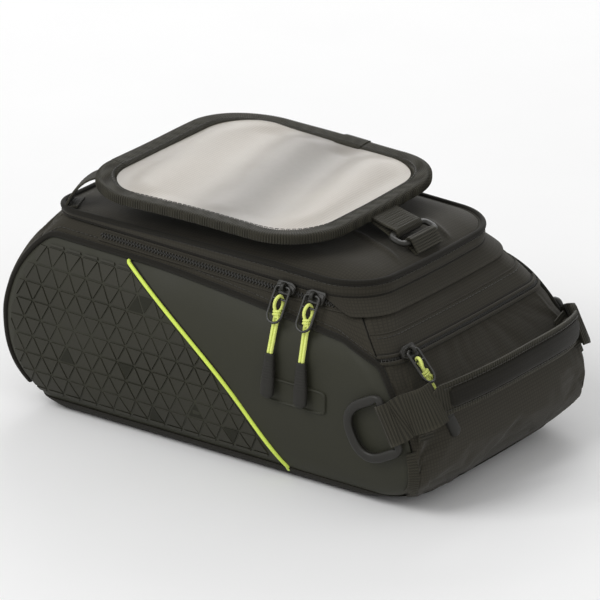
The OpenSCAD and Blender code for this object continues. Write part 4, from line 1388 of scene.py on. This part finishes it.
class TANKBAG_OT_main_zip(PieceOperator, bpy.types.Operator):
    """Makes the tape and the teeth of the main zip"""

    bl_idname = "tankbag.main_zip"
    bl_label = "Main zip"

    def make(self, s):
        turns = ZIP_TURNS
        z = ZIP_Z + TAPE_ACROSS
        b = Build()
        b.slab(wall(turns[:, None], z, -1.2), wall(turns[:, None], z, -0.4))
        for rise in (-3.2, 3.0):
            b.tube(resample(wall(turns, ZIP_Z + rise, -1.2), 2.0), 0.7, sides=8)
        b.piece("main_zip_tape", "cloth", 60, "lid", "dark_cloth", "zip_tape")
        line = resample(wall(turns, ZIP_Z, -1.9), 1.0)
        far = resample(wall(turns, ZIP_Z + 1.0, -1.9), 1.0)
        way = unit(np.gradient(line, axis=0))
        rise = far[np.linspace(0, len(far) - 1, len(line)).astype(int)] - line
        out = unit(np.cross(way, unit(rise)))
        zip_teeth("main_zip_teeth", line, out, "lid", "zip_coil")


def map_outline(pitch):
    """Outline of the map pocket and its inward way, counter-clockwise, in X and Y."""
    points = []
    for k in range(4):
        sx, sy = (-1, 1, 1, -1)[k], (-1, -1, 1, 1)[k]
        x = -MAP_REAR if sx < 0 else MAP_FRONT
        w = MAP_HALF_REAR if sx < 0 else MAP_HALF_FRONT
        for a in np.linspace(180 + 90 * k, 270 + 90 * k, 40):
            c, s = math.cos(math.radians(a)), math.sin(math.radians(a))
            points.append([x - sx * MAP_ROUND + MAP_ROUND * c, sy * (w - MAP_ROUND) + MAP_ROUND * s, 0])
    fine = resample(np.array(points), pitch, closed=True)
    way = unit(np.roll(fine, -1, 0) - np.roll(fine, 1, 0))
    inward = np.stack([-way[:, 1], way[:, 0]], 1)
    return fine[:, :2], inward


def map_height(x, y, h):
    """Height of the pocket's plane, which sags a little between its corners."""
    sag = 1.6 * np.sin((x + 20) / 55) + 0.012 * y
    return (LIP_Z + MAP_LIFT) * (1 - FALL * x) + h + sag


def edge_sag(along):
    """Small waves of the bound edge, by the length along it."""
    return 0.7 * np.sin(along / 47.0) + 0.4 * np.sin(along / 19.0 + 1.0)


# Half the width of the pocket's bound edge, the pitch of its points, and how far in the sheets are sewn
BINDING = 7.4
BINDING_STEP = 0.42
SHEET_IN = 11.5


class TANKBAG_OT_map_pocket(PieceOperator, bpy.types.Operator):
    """Makes the map pocket: bound edge, wavy clear window and back"""

    bl_idname = "tankbag.map_pocket"
    bl_label = "Map pocket"

    def make(self, s):
        flat, inward = map_outline(BINDING_STEP)
        along = np.arange(len(flat)) * BINDING_STEP
        profile = []
        for t in np.linspace(0, TAU, 37)[:-1]:
            across = squared(math.cos(t), 0.5)
            rise = lerp(4.1, 2.7, (1 - across) / 2) * squared(math.sin(t), 0.55)
            profile.append((BINDING * (1 - across), rise))
        b = Build()
        g = self.rows(flat, inward, profile, along)
        b.grid(looped(looped(g), 1))
        lap = np.where((np.abs(flat[:, 0] + 10) < 11) & (flat[:, 1] > 0))[0]
        wide = [(BINDING - (BINDING - d) * 1.09, h * 1.2) for d, h in profile]
        g = self.rows(flat[lap], inward[lap], wide, along[lap])
        b.grid(looped(g, 1))
        for ring in (g[0], g[-1]):
            b.face(ring, edge=1.0)
        b.piece("map_edge_binding", "webbing", 60, "lid", "webbing", "map_binding")
        self.window(s)
        self.back()

    @staticmethod
    def rows(flat, inward, profile, along):
        """The bound edge's section along the outline, with the slanting ribs of its tape."""
        out = []
        for d, h in profile:
            grow = 1 + 0.05 * np.cos(TAU * (along + 0.55 * d) / 2.1)
            q = flat + inward * (BINDING + (d - BINDING) * grow)[:, None]
            out.append(np.column_stack([q, map_height(q[:, 0], q[:, 1], h * grow + edge_sag(along))]))
        return np.stack(out, 1)

    def window(self, s):
        flat, inward = map_outline(2.5)
        edge = flat + inward * SHEET_IN
        middle = np.array([-24.0, 0.0])
        wave = s.window_wave / MM
        shares = np.linspace(1, 0.012, 64)
        grids = []
        for thick in (0.0, -0.8):
            rows = []
            for k in shares:
                q = middle + (edge - middle) * k
                x, y = q[:, 0], q[:, 1]
                fade = ease((1 - k) / 0.22)
                fold = np.cos(TAU * (x + 0.1 * y + 26 + 6 * np.sin(y / 38)) / 66)
                fold = fold * (0.75 + 0.25 * np.sin(y / 45 + x / 60))
                rows.append(np.column_stack([q, map_height(x, y, 1.9 + thick + wave * fold * fade)]))
            grids.append(np.stack(rows, 1))
        b = Build()
        for g, step in zip(grids, (1, -1)):
            sheet = looped(g)[:, ::step]
            b.grid(sheet, uv=sheet[..., :2])
            b.face(g[:, -1], g[:, -1, :2])
        b.grid(looped(np.stack([g[:, 0] for g in grids], 1)))
        film_ = b.piece("map_clear_window", "window", 60, "lid", "clear_window", "map_window")
        self.declare(film_, edge)

    def back(self):
        flat, inward = map_outline(2.5)
        edge = flat + inward * SHEET_IN
        b = Build()
        top, low = (np.column_stack([edge, map_height(edge[:, 0], edge[:, 1], h)]) for h in (-2.2, -3.5))
        b.grid(looped(np.stack([low, top], 1)))
        b.disc(top, 8)
        b.disc(low[::-1], 8)
        cloth = b.piece("map_back_cloth", "dark", 60, "lid", "dark_cloth", "map_back")
        self.declare(cloth, edge)

    @staticmethod
    def declare(obj, edge):
        """Works out the area inside the bound edge; nothing uses it."""
        area = TANKBAG_OT_side_panels.area(edge) * MM * MM


# Middle of the front straps' link, its tilt in degrees, and half the distance between its bars
LINK_AT = np.array([104.0, 0.0, 162.93])
LINK_TILT = 16
LINK_REACH = 6.8


class TANKBAG_OT_map_straps(PieceOperator, bpy.types.Operator):
    """Makes the straps that hold the map pocket and their link"""

    bl_idname = "tankbag.map_straps"
    bl_label = "Map pocket straps"

    def make(self, s):
        pitch = s.rib_pitch / MM
        for side in SIDES:
            self.rear(side, pitch)
        tilt = math.radians(LINK_TILT)
        way = np.array([math.cos(tilt), 0, -math.sin(tilt)])
        up = np.array([math.sin(tilt), 0, math.cos(tilt)])
        loop = []
        for a in np.linspace(0, TAU, 120, endpoint=False):
            reach = LINK_REACH * squared(math.cos(a), 0.6)
            loop.append(LINK_AT + way * reach + np.array([0, 20.6 * squared(math.sin(a), 0.5), 0]))
        loop = resample(np.array(loop), 0.9, closed=True)
        b = Build()
        b.tube(loop, 2.5, 1.75, up, 14, closed=True, power=2.7)
        b.piece("front_strap_link", "plastic", 60, "lid", "hard_plastic", "strap_link")
        for name, side, end, node in (
            ("pocket_strap_loop", -1, np.array([76.0, 0, 172.2]), "pocket_front_strap"),
            ("lid_strap_loop", 1, np.array([118.0, 0, 154.6]), "lid_front_strap"),
        ):
            path, out = self.around(LINK_AT + way * (LINK_REACH * side), end)
            b = Build()
            b.ribbon(path, out, 29.4, 1.8, pitch, 0.5)
            b.piece(name, "webbing", 50, "lid", "webbing", node)

    @staticmethod
    def around(bar, end):
        """A strap from its end over a bar, round it and back under itself, with its outward way."""
        r = 3.25
        to = unit(end - bar)
        up = np.array([-to[2], 0, to[0]])
        if up[2] < 0:
            up = -up
        knots = [end + up * 1.1]
        knots += [lerp(end, bar, t) + up * lerp(1.2, r, t**1.5) for t in (0.35, 0.7)]
        arc = [bar + up * r * math.cos(a) - to * r * math.sin(a) for a in np.linspace(0, math.pi, 15)]
        back = [lerp(bar, end, t) - up * lerp(r, 1.2, t**0.7) for t in (0.3, 0.65)]
        path = resample(curve_through(knots + arc + back + [end - up * 1.1], 6), 0.6)
        way = unit(np.gradient(path, axis=0))
        out = np.cross(np.array([0, 1.0, 0]), way)
        if out[0].dot(up) < 0:
            out = -out
        return path, out

    def rear(self, side, pitch):
        """A strap that bows out from a rear corner of the pocket down to the lid's corner."""
        turn = math.radians(22)
        way = np.array([math.cos(turn), math.sin(turn), 0])
        start = np.array([MAP_ROUND - MAP_REAR, MAP_ROUND - MAP_HALF_REAR, 0]) - MAP_ROUND * way
        top = float(map_height(start[0], start[1], 0.0))
        low = float(lean(-144.0, 0.0, LIP_Z + lid_height(-144.0, 13.0))[2])
        reach = [
            (6, 0.0), (0, 0.02), (-7, 0.16), (-14, 0.42), (-19, 0.72),
            (-21.4, 0.95), (-18.5, 0.985), (-13, 0.95),
        ]
        knots = [start + way * r + np.array([0, 0, lerp(top, low, t)]) for r, t in reach]
        path = resample(curve_through(knots, 8), 0.8)
        tangent = unit(np.gradient(path, axis=0))
        across = np.array([-way[1], way[0], 0])
        out = np.cross(across, tangent)
        if out[0][2] < 0:
            out = -out
        b = Build()
        b.ribbon(mirrored(path, side), mirrored(out, side), 19.6, 1.7, pitch, 0.4)
        name = side + "_rear_webbing"
        b.piece(name, "webbing", 50, "lid", "webbing", side + "_rear_strap")


def turned(angle, axis):
    return Matrix.Rotation(math.radians(angle), 4, axis)


def moved(x, y, z):
    return Matrix.Translation((x, y, z))


# Fall of the lid seam and tilt of the walls under the zips, in degrees
SEAM_SLOPE = 1.6909
SIDE_TILT = 53.4505
POCKET_TILT = 53.0134
# Height of the eye of a slider's lug, and how far below it the wire's cross bar holds the cord
LUG = 4.5
CORD_BAR = 9.0


class TANKBAG_OT_zip_pulls(PieceOperator, bpy.types.Operator):
    """Makes the zip sliders and their pulls: wire, knotted lime cord and moulded end"""

    bl_idname = "tankbag.zip_pulls"
    bl_label = "Zip pulls"

    def make(self, s):
        slope = turned(SEAM_SLOPE, "Y")
        for name, x, z, half_turn, sway in (
            ("rear", 60.06, 139.307, 180, 1.0), ("front", 85.06, 138.59, 0, 4.0)
        ):
            foot = moved(x, -89.869, z) @ slope @ turned(SIDE_TILT, "X")
            self.slider(name, foot @ turned(half_turn, "Z"))
            pull = foot @ moved(0, 0, LUG) @ turned(90 - 29.5 - SIDE_TILT, "X")
            self.pull(name, pull, sway, 12.5, 38.0, 11.0)
        foot = moved(152.61, -76, 109.559) @ turned(90, "Z") @ turned(POCKET_TILT, "X")
        self.slider("pocket", foot)
        pull = foot @ moved(0, 0, LUG) @ turned(90 - 42 - POCKET_TILT, "X")
        self.pull("pocket", pull, 9.0, 13.0, 26.0, 3.0)

    def slider(self, name, at):
        b = Build()
        half = [(-8, -2.2), (-7.2, -3.2), (-4.2, -4.9), (-2, -5), (6.6, -5), (7.7, -4.4), (8, -3)]
        shape = half + [(x, -y) for x, y in reversed(half)]
        outline = resample(np.column_stack([np.array(shape), np.zeros(len(shape))]), 0.7, closed=True)[:, :2]
        b.plate(outline, at, 2.2, 0.6)
        b.plate(outline * np.array([0.94, 0.62]), at @ moved(0, 0, 1.9), 0.9, 0.4)
        turns = np.radians(np.linspace(-42, 222, 40))
        lug = np.stack([turns * 0, 2.35 * np.cos(turns), LUG + 2.35 * np.sin(turns)], 1)
        along = unit(placed(at, np.array([[1.0, 0, 0]])) - placed(at, np.zeros((1, 3))))
        b.tube(placed(at, lug), 0.95, 1.5, along, 12, power=3.0)
        b.piece(name + "_zip_slider", "plastic", 40, name + "_zip", "hard_plastic", name + "_slider")

    def pull(self, name, at, sway, kick, cord_l, grip_kick):
        body = name + "_pull"
        b = Build()
        bend = [(3.6 + 2.4 * math.sin(t), -2.4 + 2.4 * math.cos(t)) for t in np.linspace(0.2, math.pi / 2, 7)]
        foot = [(6 * math.cos(t), -20 + 6 * math.sin(t)) for t in np.linspace(0, -math.pi, 25)]
        loop = [(-3.6, 0), (3.6, 0)] + bend + foot + [(-x, y) for x, y in reversed(bend)]
        loop = np.column_stack([np.array(loop), np.zeros(len(loop))])
        b.tube(placed(at, resample(loop, 0.8, closed=True)), 0.95, sides=10, closed=True)
        b.tube(placed(at, np.array([[x, -CORD_BAR, 0] for x in np.linspace(-5.8, 5.8, 14)])), 0.8, sides=10)
        b.piece(name + "_wire_loop", "wire", 60, body, "hard_plastic", name + "_pull_wire")
        bar = at @ moved(0, -CORD_BAR, 0) @ turned(sway, "Z") @ turned(kick, "X")
        self.cord(name, bar, cord_l, body)
        self.grip(name, bar @ moved(0, -cord_l, 0) @ turned(grip_kick, "X"), body)

    def cord(self, name, at, length_, body):
        b = Build()
        knots = [
            (-1.15, -length_ - 1.5, 0), (-1.2, -length_ * 0.6, 0.1), (-1.25, -14, 0), (-1.0, -9.6, 0.5),
            (-2.1, -5.4, 1.7), (-1.5, -1.2, 2.4), (-0.3, 1.9, 1.2), (0.3, 1.9, -1.2), (1.5, -1.2, -2.4),
            (2.1, -5.4, -1.7), (1.0, -9.6, -0.5), (1.25, -14, 0), (1.2, -length_ * 0.6, -0.1),
            (1.15, -length_ - 1.5, 0),
        ]
        b.tube(placed(at, resample(curve_through(knots, 10), 0.8)), 1.22, sides=10, cap=False)
        wraps = []
        for t in np.linspace(0, 2.2, 60):
            wraps.append((2.5 * math.cos(TAU * t), -8.2 - 2.0 * t, 1.75 * math.sin(TAU * t)))
        b.tube(placed(at, np.array(wraps)), 1.05, sides=9)
        tail = curve_through([(1.8, -12.0, 1.0), (2.6, -13.6, 1.4), (2.9, -15.4, 1.2)], 6)
        b.tube(placed(at, tail), 0.95, sides=8)
        b.piece(name + "_cord", "cord", 60, body, "lime_cord", name + "_pull_cord")

    def grip(self, name, at, body):
        rows = []
        angle = np.linspace(0, TAU, 33)
        c, q = squared(np.cos(angle), 0.72), squared(np.sin(angle), 0.8)
        tip = 0.9 + 0.1 * np.sin(np.linspace(0.1, 1.55, 10))
        for t in np.concatenate([[0, 0.004, 0.012, 0.03], np.linspace(0.05, 0.9, 50), tip]):
            half = lerp(3.9, 5.35, ease(t / 0.75))
            deep = lerp(2.35, 2.75, ease(t / 0.5))
            close = math.sqrt(max(0.0, 1 - max(0.0, (t - 0.88) / 0.125) ** 2))
            mouth = 0.86 + 0.14 * min(1, t / 0.03)
            rib = 0.12 * math.sin(TAU * t * 16) if 0.12 < t < 0.6 else 0.0
            k = max(close, 0.12) * mouth
            down = np.full(33, -0.2 - 32.8 * t)
            rows.append(np.column_stack([(half + rib) * k * c, down, (deep + rib) * k * q]))
        g = np.stack(rows)
        b = Build()
        b.grid(placed(at, g.reshape(-1, 3)).reshape(g.shape))
        for ring in (g[0], g[-1]):
            b.face(placed(at, ring[:-1]))
        b.piece(name + "_moulded_end", "rubber", 50, body, "soft_plastic", name + "_pull_grip")


# Middle of the right ring's bar and its tilt in degrees, half the ring's width and the round of its corners
RING_AT = (162.0, -111.036, 70.0)
RING_TILT = 28
RING_HALF = 20
RING_CORNER = 3


class TANKBAG_OT_rings(PieceOperator, bpy.types.Operator):
    """Makes the moulded D-rings and the webbing that holds them"""

    bl_idname = "tankbag.rings"
    bl_label = "D-rings"

    def make(self, s):
        at = moved(*RING_AT) @ turned(-RING_TILT, "Y")
        bar = RING_HALF - RING_CORNER
        line = [(0, z) for z in np.linspace(-bar, bar, 18)]
        line += self.corner(bar, np.linspace(0, 90, 8)[1:])
        for a in np.radians(np.linspace(90, 270, 60)):
            line.append((-15 - RING_HALF * abs(math.cos(a)) ** 0.8, RING_HALF * squared(math.sin(a), 0.8)))
        line += self.corner(-bar, np.linspace(270, 360, 8)[:-1])
        flat = resample([(x, 0, z) for x, z in line], 0.9, closed=True)
        wide = lerp(2.45, 3.5, ease(-flat[:, 0] / 7.0))
        path = placed(at, flat)
        for side in SIDES:
            b = Build()
            b.tube(mirrored(path, side), wide, 2.3, np.array([0, 1.0, 0]), 18, closed=True, power=2.8)
            b.piece(side + "_moulded_ring", "plastic", 60, side + "_ring", "hard_plastic", side + "_d_ring")
            self.strap(s, side)

    @staticmethod
    def corner(z, angles):
        r = RING_CORNER
        return [(-r + r * math.cos(a), z + r * math.sin(a)) for a in np.radians(angles)]

    def strap(self, s, side):
        """Webbing that comes round the ring's bar and goes on over the corner to the handle."""
        tilt = math.radians(RING_TILT)
        way = np.array([math.cos(tilt), 0, math.sin(tilt)])
        out = np.array([0, -1.0, 0])
        centre = np.array(RING_AT)
        r = 4.0
        round_bar = np.linspace(-0.25, math.pi, 20)
        arc = [centre + out * r * math.cos(a) - way * r * math.sin(a) for a in round_bar]
        reach = [
            (12.2, -85.5, 3.5), (12.0, -89.5, 3.0), (10.9, -94.0, 1.8), (7.6, -98.2, 0.0),
            (2.0, -101.6, -2.5), (-3.2, -104.6, -5.0),
        ]
        front = [np.array([HANDLE_AXIS[0] + x, y, HANDLE_AXIS[2] + z]) for x, y, z in reach]
        lead = [centre + way * 6.4 + out * -1.8, centre + way * 4.0 + out * 2.3]
        first = curve_through(front + lead + [arc[0]], 6)
        path = resample(np.vstack([first[:-1], np.array(arc), (centre - out * 3.7 + way * 5.0)[None]]), 0.7)
        tangent = unit(np.gradient(path, axis=0))
        outward = np.cross(tangent, np.array([-way[2], 0, way[0]]))
        face = mirrored(outward * np.sign(outward[0][0]), side)
        b = Build()
        b.ribbon(mirrored(path, side), face, 30, 1.7, s.rib_pitch / MM, 0.5)
        name = side + "_ring_webbing"
        b.piece(name, "webbing", 50, "bag", "webbing", side + "_ring_strap")


# Half the span of the handle, and how far its middle stands out and up
HANDLE_HALF = 96
HANDLE_OUT = 25.2
HANDLE_RISE = 12


class TANKBAG_OT_handle(PieceOperator, bpy.types.Operator):
    """Makes the carry handle: ribbed webbing, padded strip and sewn ends"""

    bl_idname = "tankbag.handle"
    bl_label = "Carry handle"

    @staticmethod
    def line(share):
        """The handle's middle line, its tangent and its outward way, by the share of half its span."""
        x = HANDLE_AXIS[0] + 3.8 + HANDLE_OUT * (1 - np.abs(share) ** 2.4)
        path = np.stack([x, share * HANDLE_HALF, HANDLE_AXIS[2] + HANDLE_RISE * (1 - share * share)], -1)
        tangent = unit(np.gradient(path, axis=0))
        return path, tangent, unit(np.cross(tangent, np.array([0, 0, 1.0])))

    def make(self, s):
        share = np.linspace(-1, 1, 420)
        path, _, out = self.line(share)
        width = lerp(15, 24, ease((1 - np.abs(share) - 0.07) / 0.08))
        b = Build()
        b.ribbon(path + out * 1.2, out, width, 2.2, 2.1, 0.4)
        b.piece("handle_ribbed_webbing", "webbing", 50, "carry_handle", "webbing", "handle_webbing")
        self.pad()
        for side in SIDES:
            self.tab(side)

    def pad(self):
        share = np.linspace(-0.8, 0.8, 200)
        path, tangent, out = self.line(share)
        up = np.cross(out, tangent)
        close = np.sqrt(np.clip(1 - np.clip((np.abs(share) - 0.75) / 0.0505, 0, 1) ** 2, 0.004, 1))
        narrow = 0.7 + 0.3 * close
        top, low = [], []
        for t in np.linspace(-1, 1, 25):
            dome = np.sqrt(max(0.0, 1 - abs(t) ** 3.2))
            top.append(path + up * (7.2 * t * narrow)[:, None] + out * (2.75 + 3.0 * dome * close)[:, None])
            low.append(path + up * (7.0 * t * narrow)[:, None] + out * 2.6)
        b = Build()
        b.slab(np.stack(top, 1), np.stack(low, 1))
        obj = b.piece("handle_padded_strip", "dark", 60, "carry_handle", "padding", "handle_pad")

    def tab(self, side):
        """A roll of webbing that the handle turns on, with its sewn tail on the bag."""
        b = Build()
        y = np.linspace(-99, -91, 14)
        roll = np.stack([np.full(14, HANDLE_AXIS[0]), y, np.full(14, HANDLE_AXIS[2])], 1)
        b.tube(mirrored(roll, side), 3.3, sides=20, power=2.2)
        z = lerp(86.0, 58.0, np.linspace(0, 1, 26))
        tail = wall(1.93, z / (1 - FALL * 172), -4.3)
        out = np.array([0.97, -0.1, 0.2])
        b.ribbon(mirrored(resample(tail, 0.8), side), mirrored(out, side), 15, 1.5, 2.1, 0.4)
        name = side + "_handle_anchor"
        b.piece(name, "webbing", 50, "bag", "webbing", side + "_handle_tab")


class TANKBAG_OT_stitching(PieceOperator, bpy.types.Operator):
    """Sews the seams"""

    bl_idname = "tankbag.stitching"
    bl_label = "Stitching"

    def make(self, s):
        turns = np.linspace(PANEL_REAR + 0.02, PANEL_FRONT - 0.02, 220)
        seam = wall(turns, panel_edge(turns) + 4.6, -0.45)
        rows = [mirrored(seam, side) for side in SIDES]
        rows.append(wall(np.linspace(1.6, 3.4, 160), POCKET_ZIP_Z + 11.6, -1.15))
        sewn("bag_stitches", rows, "bag")
        ring = np.append(RING_TURNS, 8.0)
        lid = [lid_point(ring, 8.9, -2.2), lid_point(ring, 12.7, LID_IN + 4.0)]
        sewn("lid_stitches", lid, "lid")
        flat, inward = map_outline(2.0)
        edge = looped(flat + inward * (SHEET_IN + 0.1))
        z = map_height(edge[:, 0], edge[:, 1], 3.7 + edge_sag(np.arange(len(edge)) * 2.0))
        sewn("map_stitches", [np.column_stack([edge, z])], "lid")
        share = np.linspace(-0.84, 0.84, 160)
        path, _, out = TANKBAG_OT_handle.line(share)
        lines = [path + out * 2.75 + np.array([0, 0, h]) for h in (-8.6, 8.6)]
        sewn("handle_stitches", lines, "carry_handle")


# Strength of the white sky as light and as it is seen
SKY_LIGHT = 0.54
SKY_SEEN = 1.0
# The camera's turn and rise in degrees, its distance in metres and its lens in millimetres
CAMERA_TURN = 36
CAMERA_RISE = 22
CAMERA_FAR = 4.0
CAMERA_LENS = 336


class TANKBAG_OT_stage(PieceOperator, bpy.types.Operator):
    """Sets the pale floor, the soft lights and the camera"""

    bl_idname = "tankbag.stage"
    bl_label = "Stage"

    def make(self, s):
        scene = bpy.context.scene
        scene.view_settings.view_transform = "Standard"
        mesh = bpy.data.meshes.new("floor")
        corners = [(x, y, -0.0004) for x, y in ((-6, -6), (6, -6), (6, 6), (-6, 6))]
        mesh.from_pydata(corners, [], [(0, 1, 2, 3)])
        floor = bpy.data.objects.new("floor", mesh)
        scene.collection.objects.link(floor)
        paint = Paint("pale_floor")
        speck = paint.noise(8, 2)
        base = paint.mix(speck, (0.93, 0.93, 0.93, 1), (0.96, 0.96, 0.96, 1))
        mesh.materials.append(paint.finish(Base_Color=base, Roughness=0.9, Specular_IOR_Level=0.1))
        self.world(scene)
        self.lamp("key", (-1.5, -2.6, 3.0), 2.2, 80)
        self.lamp("fill", (3.2, -1.2, 1.6), 2.0, 11)
        self.lamp("back", (-1.4, 2.6, 1.7), 1.8, 34)
        self.camera(scene)

    @staticmethod
    def world(scene):
        world = bpy.data.worlds.new("studio")
        scene.world = world
        world.use_nodes = True
        tree = world.node_tree
        tree.nodes.clear()
        out = tree.nodes.new("ShaderNodeOutputWorld")
        shades = []
        for strength in (SKY_LIGHT, SKY_SEEN):
            shade = tree.nodes.new("ShaderNodeBackground")
            shade.inputs["Color"].default_value = (1, 1, 1, 1)
            shade.inputs["Strength"].default_value = strength
            shades.append(shade.outputs[0])
        path = tree.nodes.new("ShaderNodeLightPath")
        white = path.outputs["Is Camera Ray"]
        for ray in ("Is Glossy Ray", "Is Transmission Ray"):
            either = tree.nodes.new("ShaderNodeMath")
            either.operation = "MAXIMUM"
            tree.links.new(white, either.inputs[0])
            tree.links.new(path.outputs[ray], either.inputs[1])
            white = either.outputs[0]
        mix = tree.nodes.new("ShaderNodeMixShader")
        for i, socket in enumerate((white, *shades)):
            tree.links.new(socket, mix.inputs[i])
        tree.links.new(mix.outputs[0], out.inputs[0])

    @staticmethod
    def lamp(name, spot, size, power):
        data = bpy.data.lights.new(name, "AREA")
        data.shape = "SQUARE"
        data.size = size
        data.energy = power
        lamp = bpy.data.objects.new(name, data)
        lamp.location = spot
        lamp.rotation_euler = (Vector((0, 0, 0.08)) - Vector(spot)).to_track_quat("-Z", "Y").to_euler()
        bpy.context.scene.collection.objects.link(lamp)

    @staticmethod
    def camera(scene):
        data = bpy.data.cameras.new("camera")
        data.sensor_width = 36
        data.lens = CAMERA_LENS
        data.clip_end = 50
        cam = bpy.data.objects.new("camera", data)
        scene.collection.objects.link(cam)
        az, el = math.radians(CAMERA_TURN), math.radians(CAMERA_RISE)
        back = Vector((math.sin(az) * math.cos(el), -math.cos(az) * math.cos(el), math.sin(el)))
        right = Vector((math.cos(az), math.sin(az), 0))
        up = back.cross(right)
        aim = Vector((0, 0, 0.075)) + right * 0.005 + up * 0.01143
        cam.location = aim + back * CAMERA_FAR
        cam.rotation_euler = back.to_track_quat("Z", "Y").to_euler()
        scene.camera = cam


PIECES = (
    TANKBAG_OT_stage, TANKBAG_OT_side_panels, TANKBAG_OT_shell, TANKBAG_OT_trim, TANKBAG_OT_front_pocket,
    TANKBAG_OT_lid, TANKBAG_OT_main_zip, TANKBAG_OT_map_pocket, TANKBAG_OT_map_straps, TANKBAG_OT_zip_pulls,
    TANKBAG_OT_rings, TANKBAG_OT_handle, TANKBAG_OT_stitching,
)


class TANKBAG_PT_panel(bpy.types.Panel):
    """Lists the pieces and their settings"""

    bl_idname = "TANKBAG_PT_panel"
    bl_label = "Tank bag"
    bl_space_type = "VIEW_3D"
    bl_region_type = "UI"
    bl_category = "Tank bag"

    def draw(self, context):
        for group in (context.scene.tank_bag_sizes, context.scene.tank_bag_colours):
            for name in group.__annotations__:
                self.layout.prop(group, name)
        for kind in PIECES:
            self.layout.operator(kind.bl_idname)


def register():
    for kind in (TankBagSizes, TankBagColours, *PIECES, TANKBAG_PT_panel):
        bpy.utils.register_class(kind)
    bpy.types.Scene.tank_bag_sizes = bpy.props.PointerProperty(type=TankBagSizes)
    bpy.types.Scene.tank_bag_colours = bpy.props.PointerProperty(type=TankBagColours)


def unregister():
    del bpy.types.Scene.tank_bag_colours
    del bpy.types.Scene.tank_bag_sizes
    for kind in reversed((TankBagSizes, TankBagColours, *PIECES, TANKBAG_PT_panel)):
        bpy.utils.unregister_class(kind)


def main():
    register()
    make_finishes()
    for kind in PIECES:
        group, name = kind.bl_idname.split(".")
        getattr(getattr(bpy.ops, group), name)()


if __name__ == "__main__":
    main()
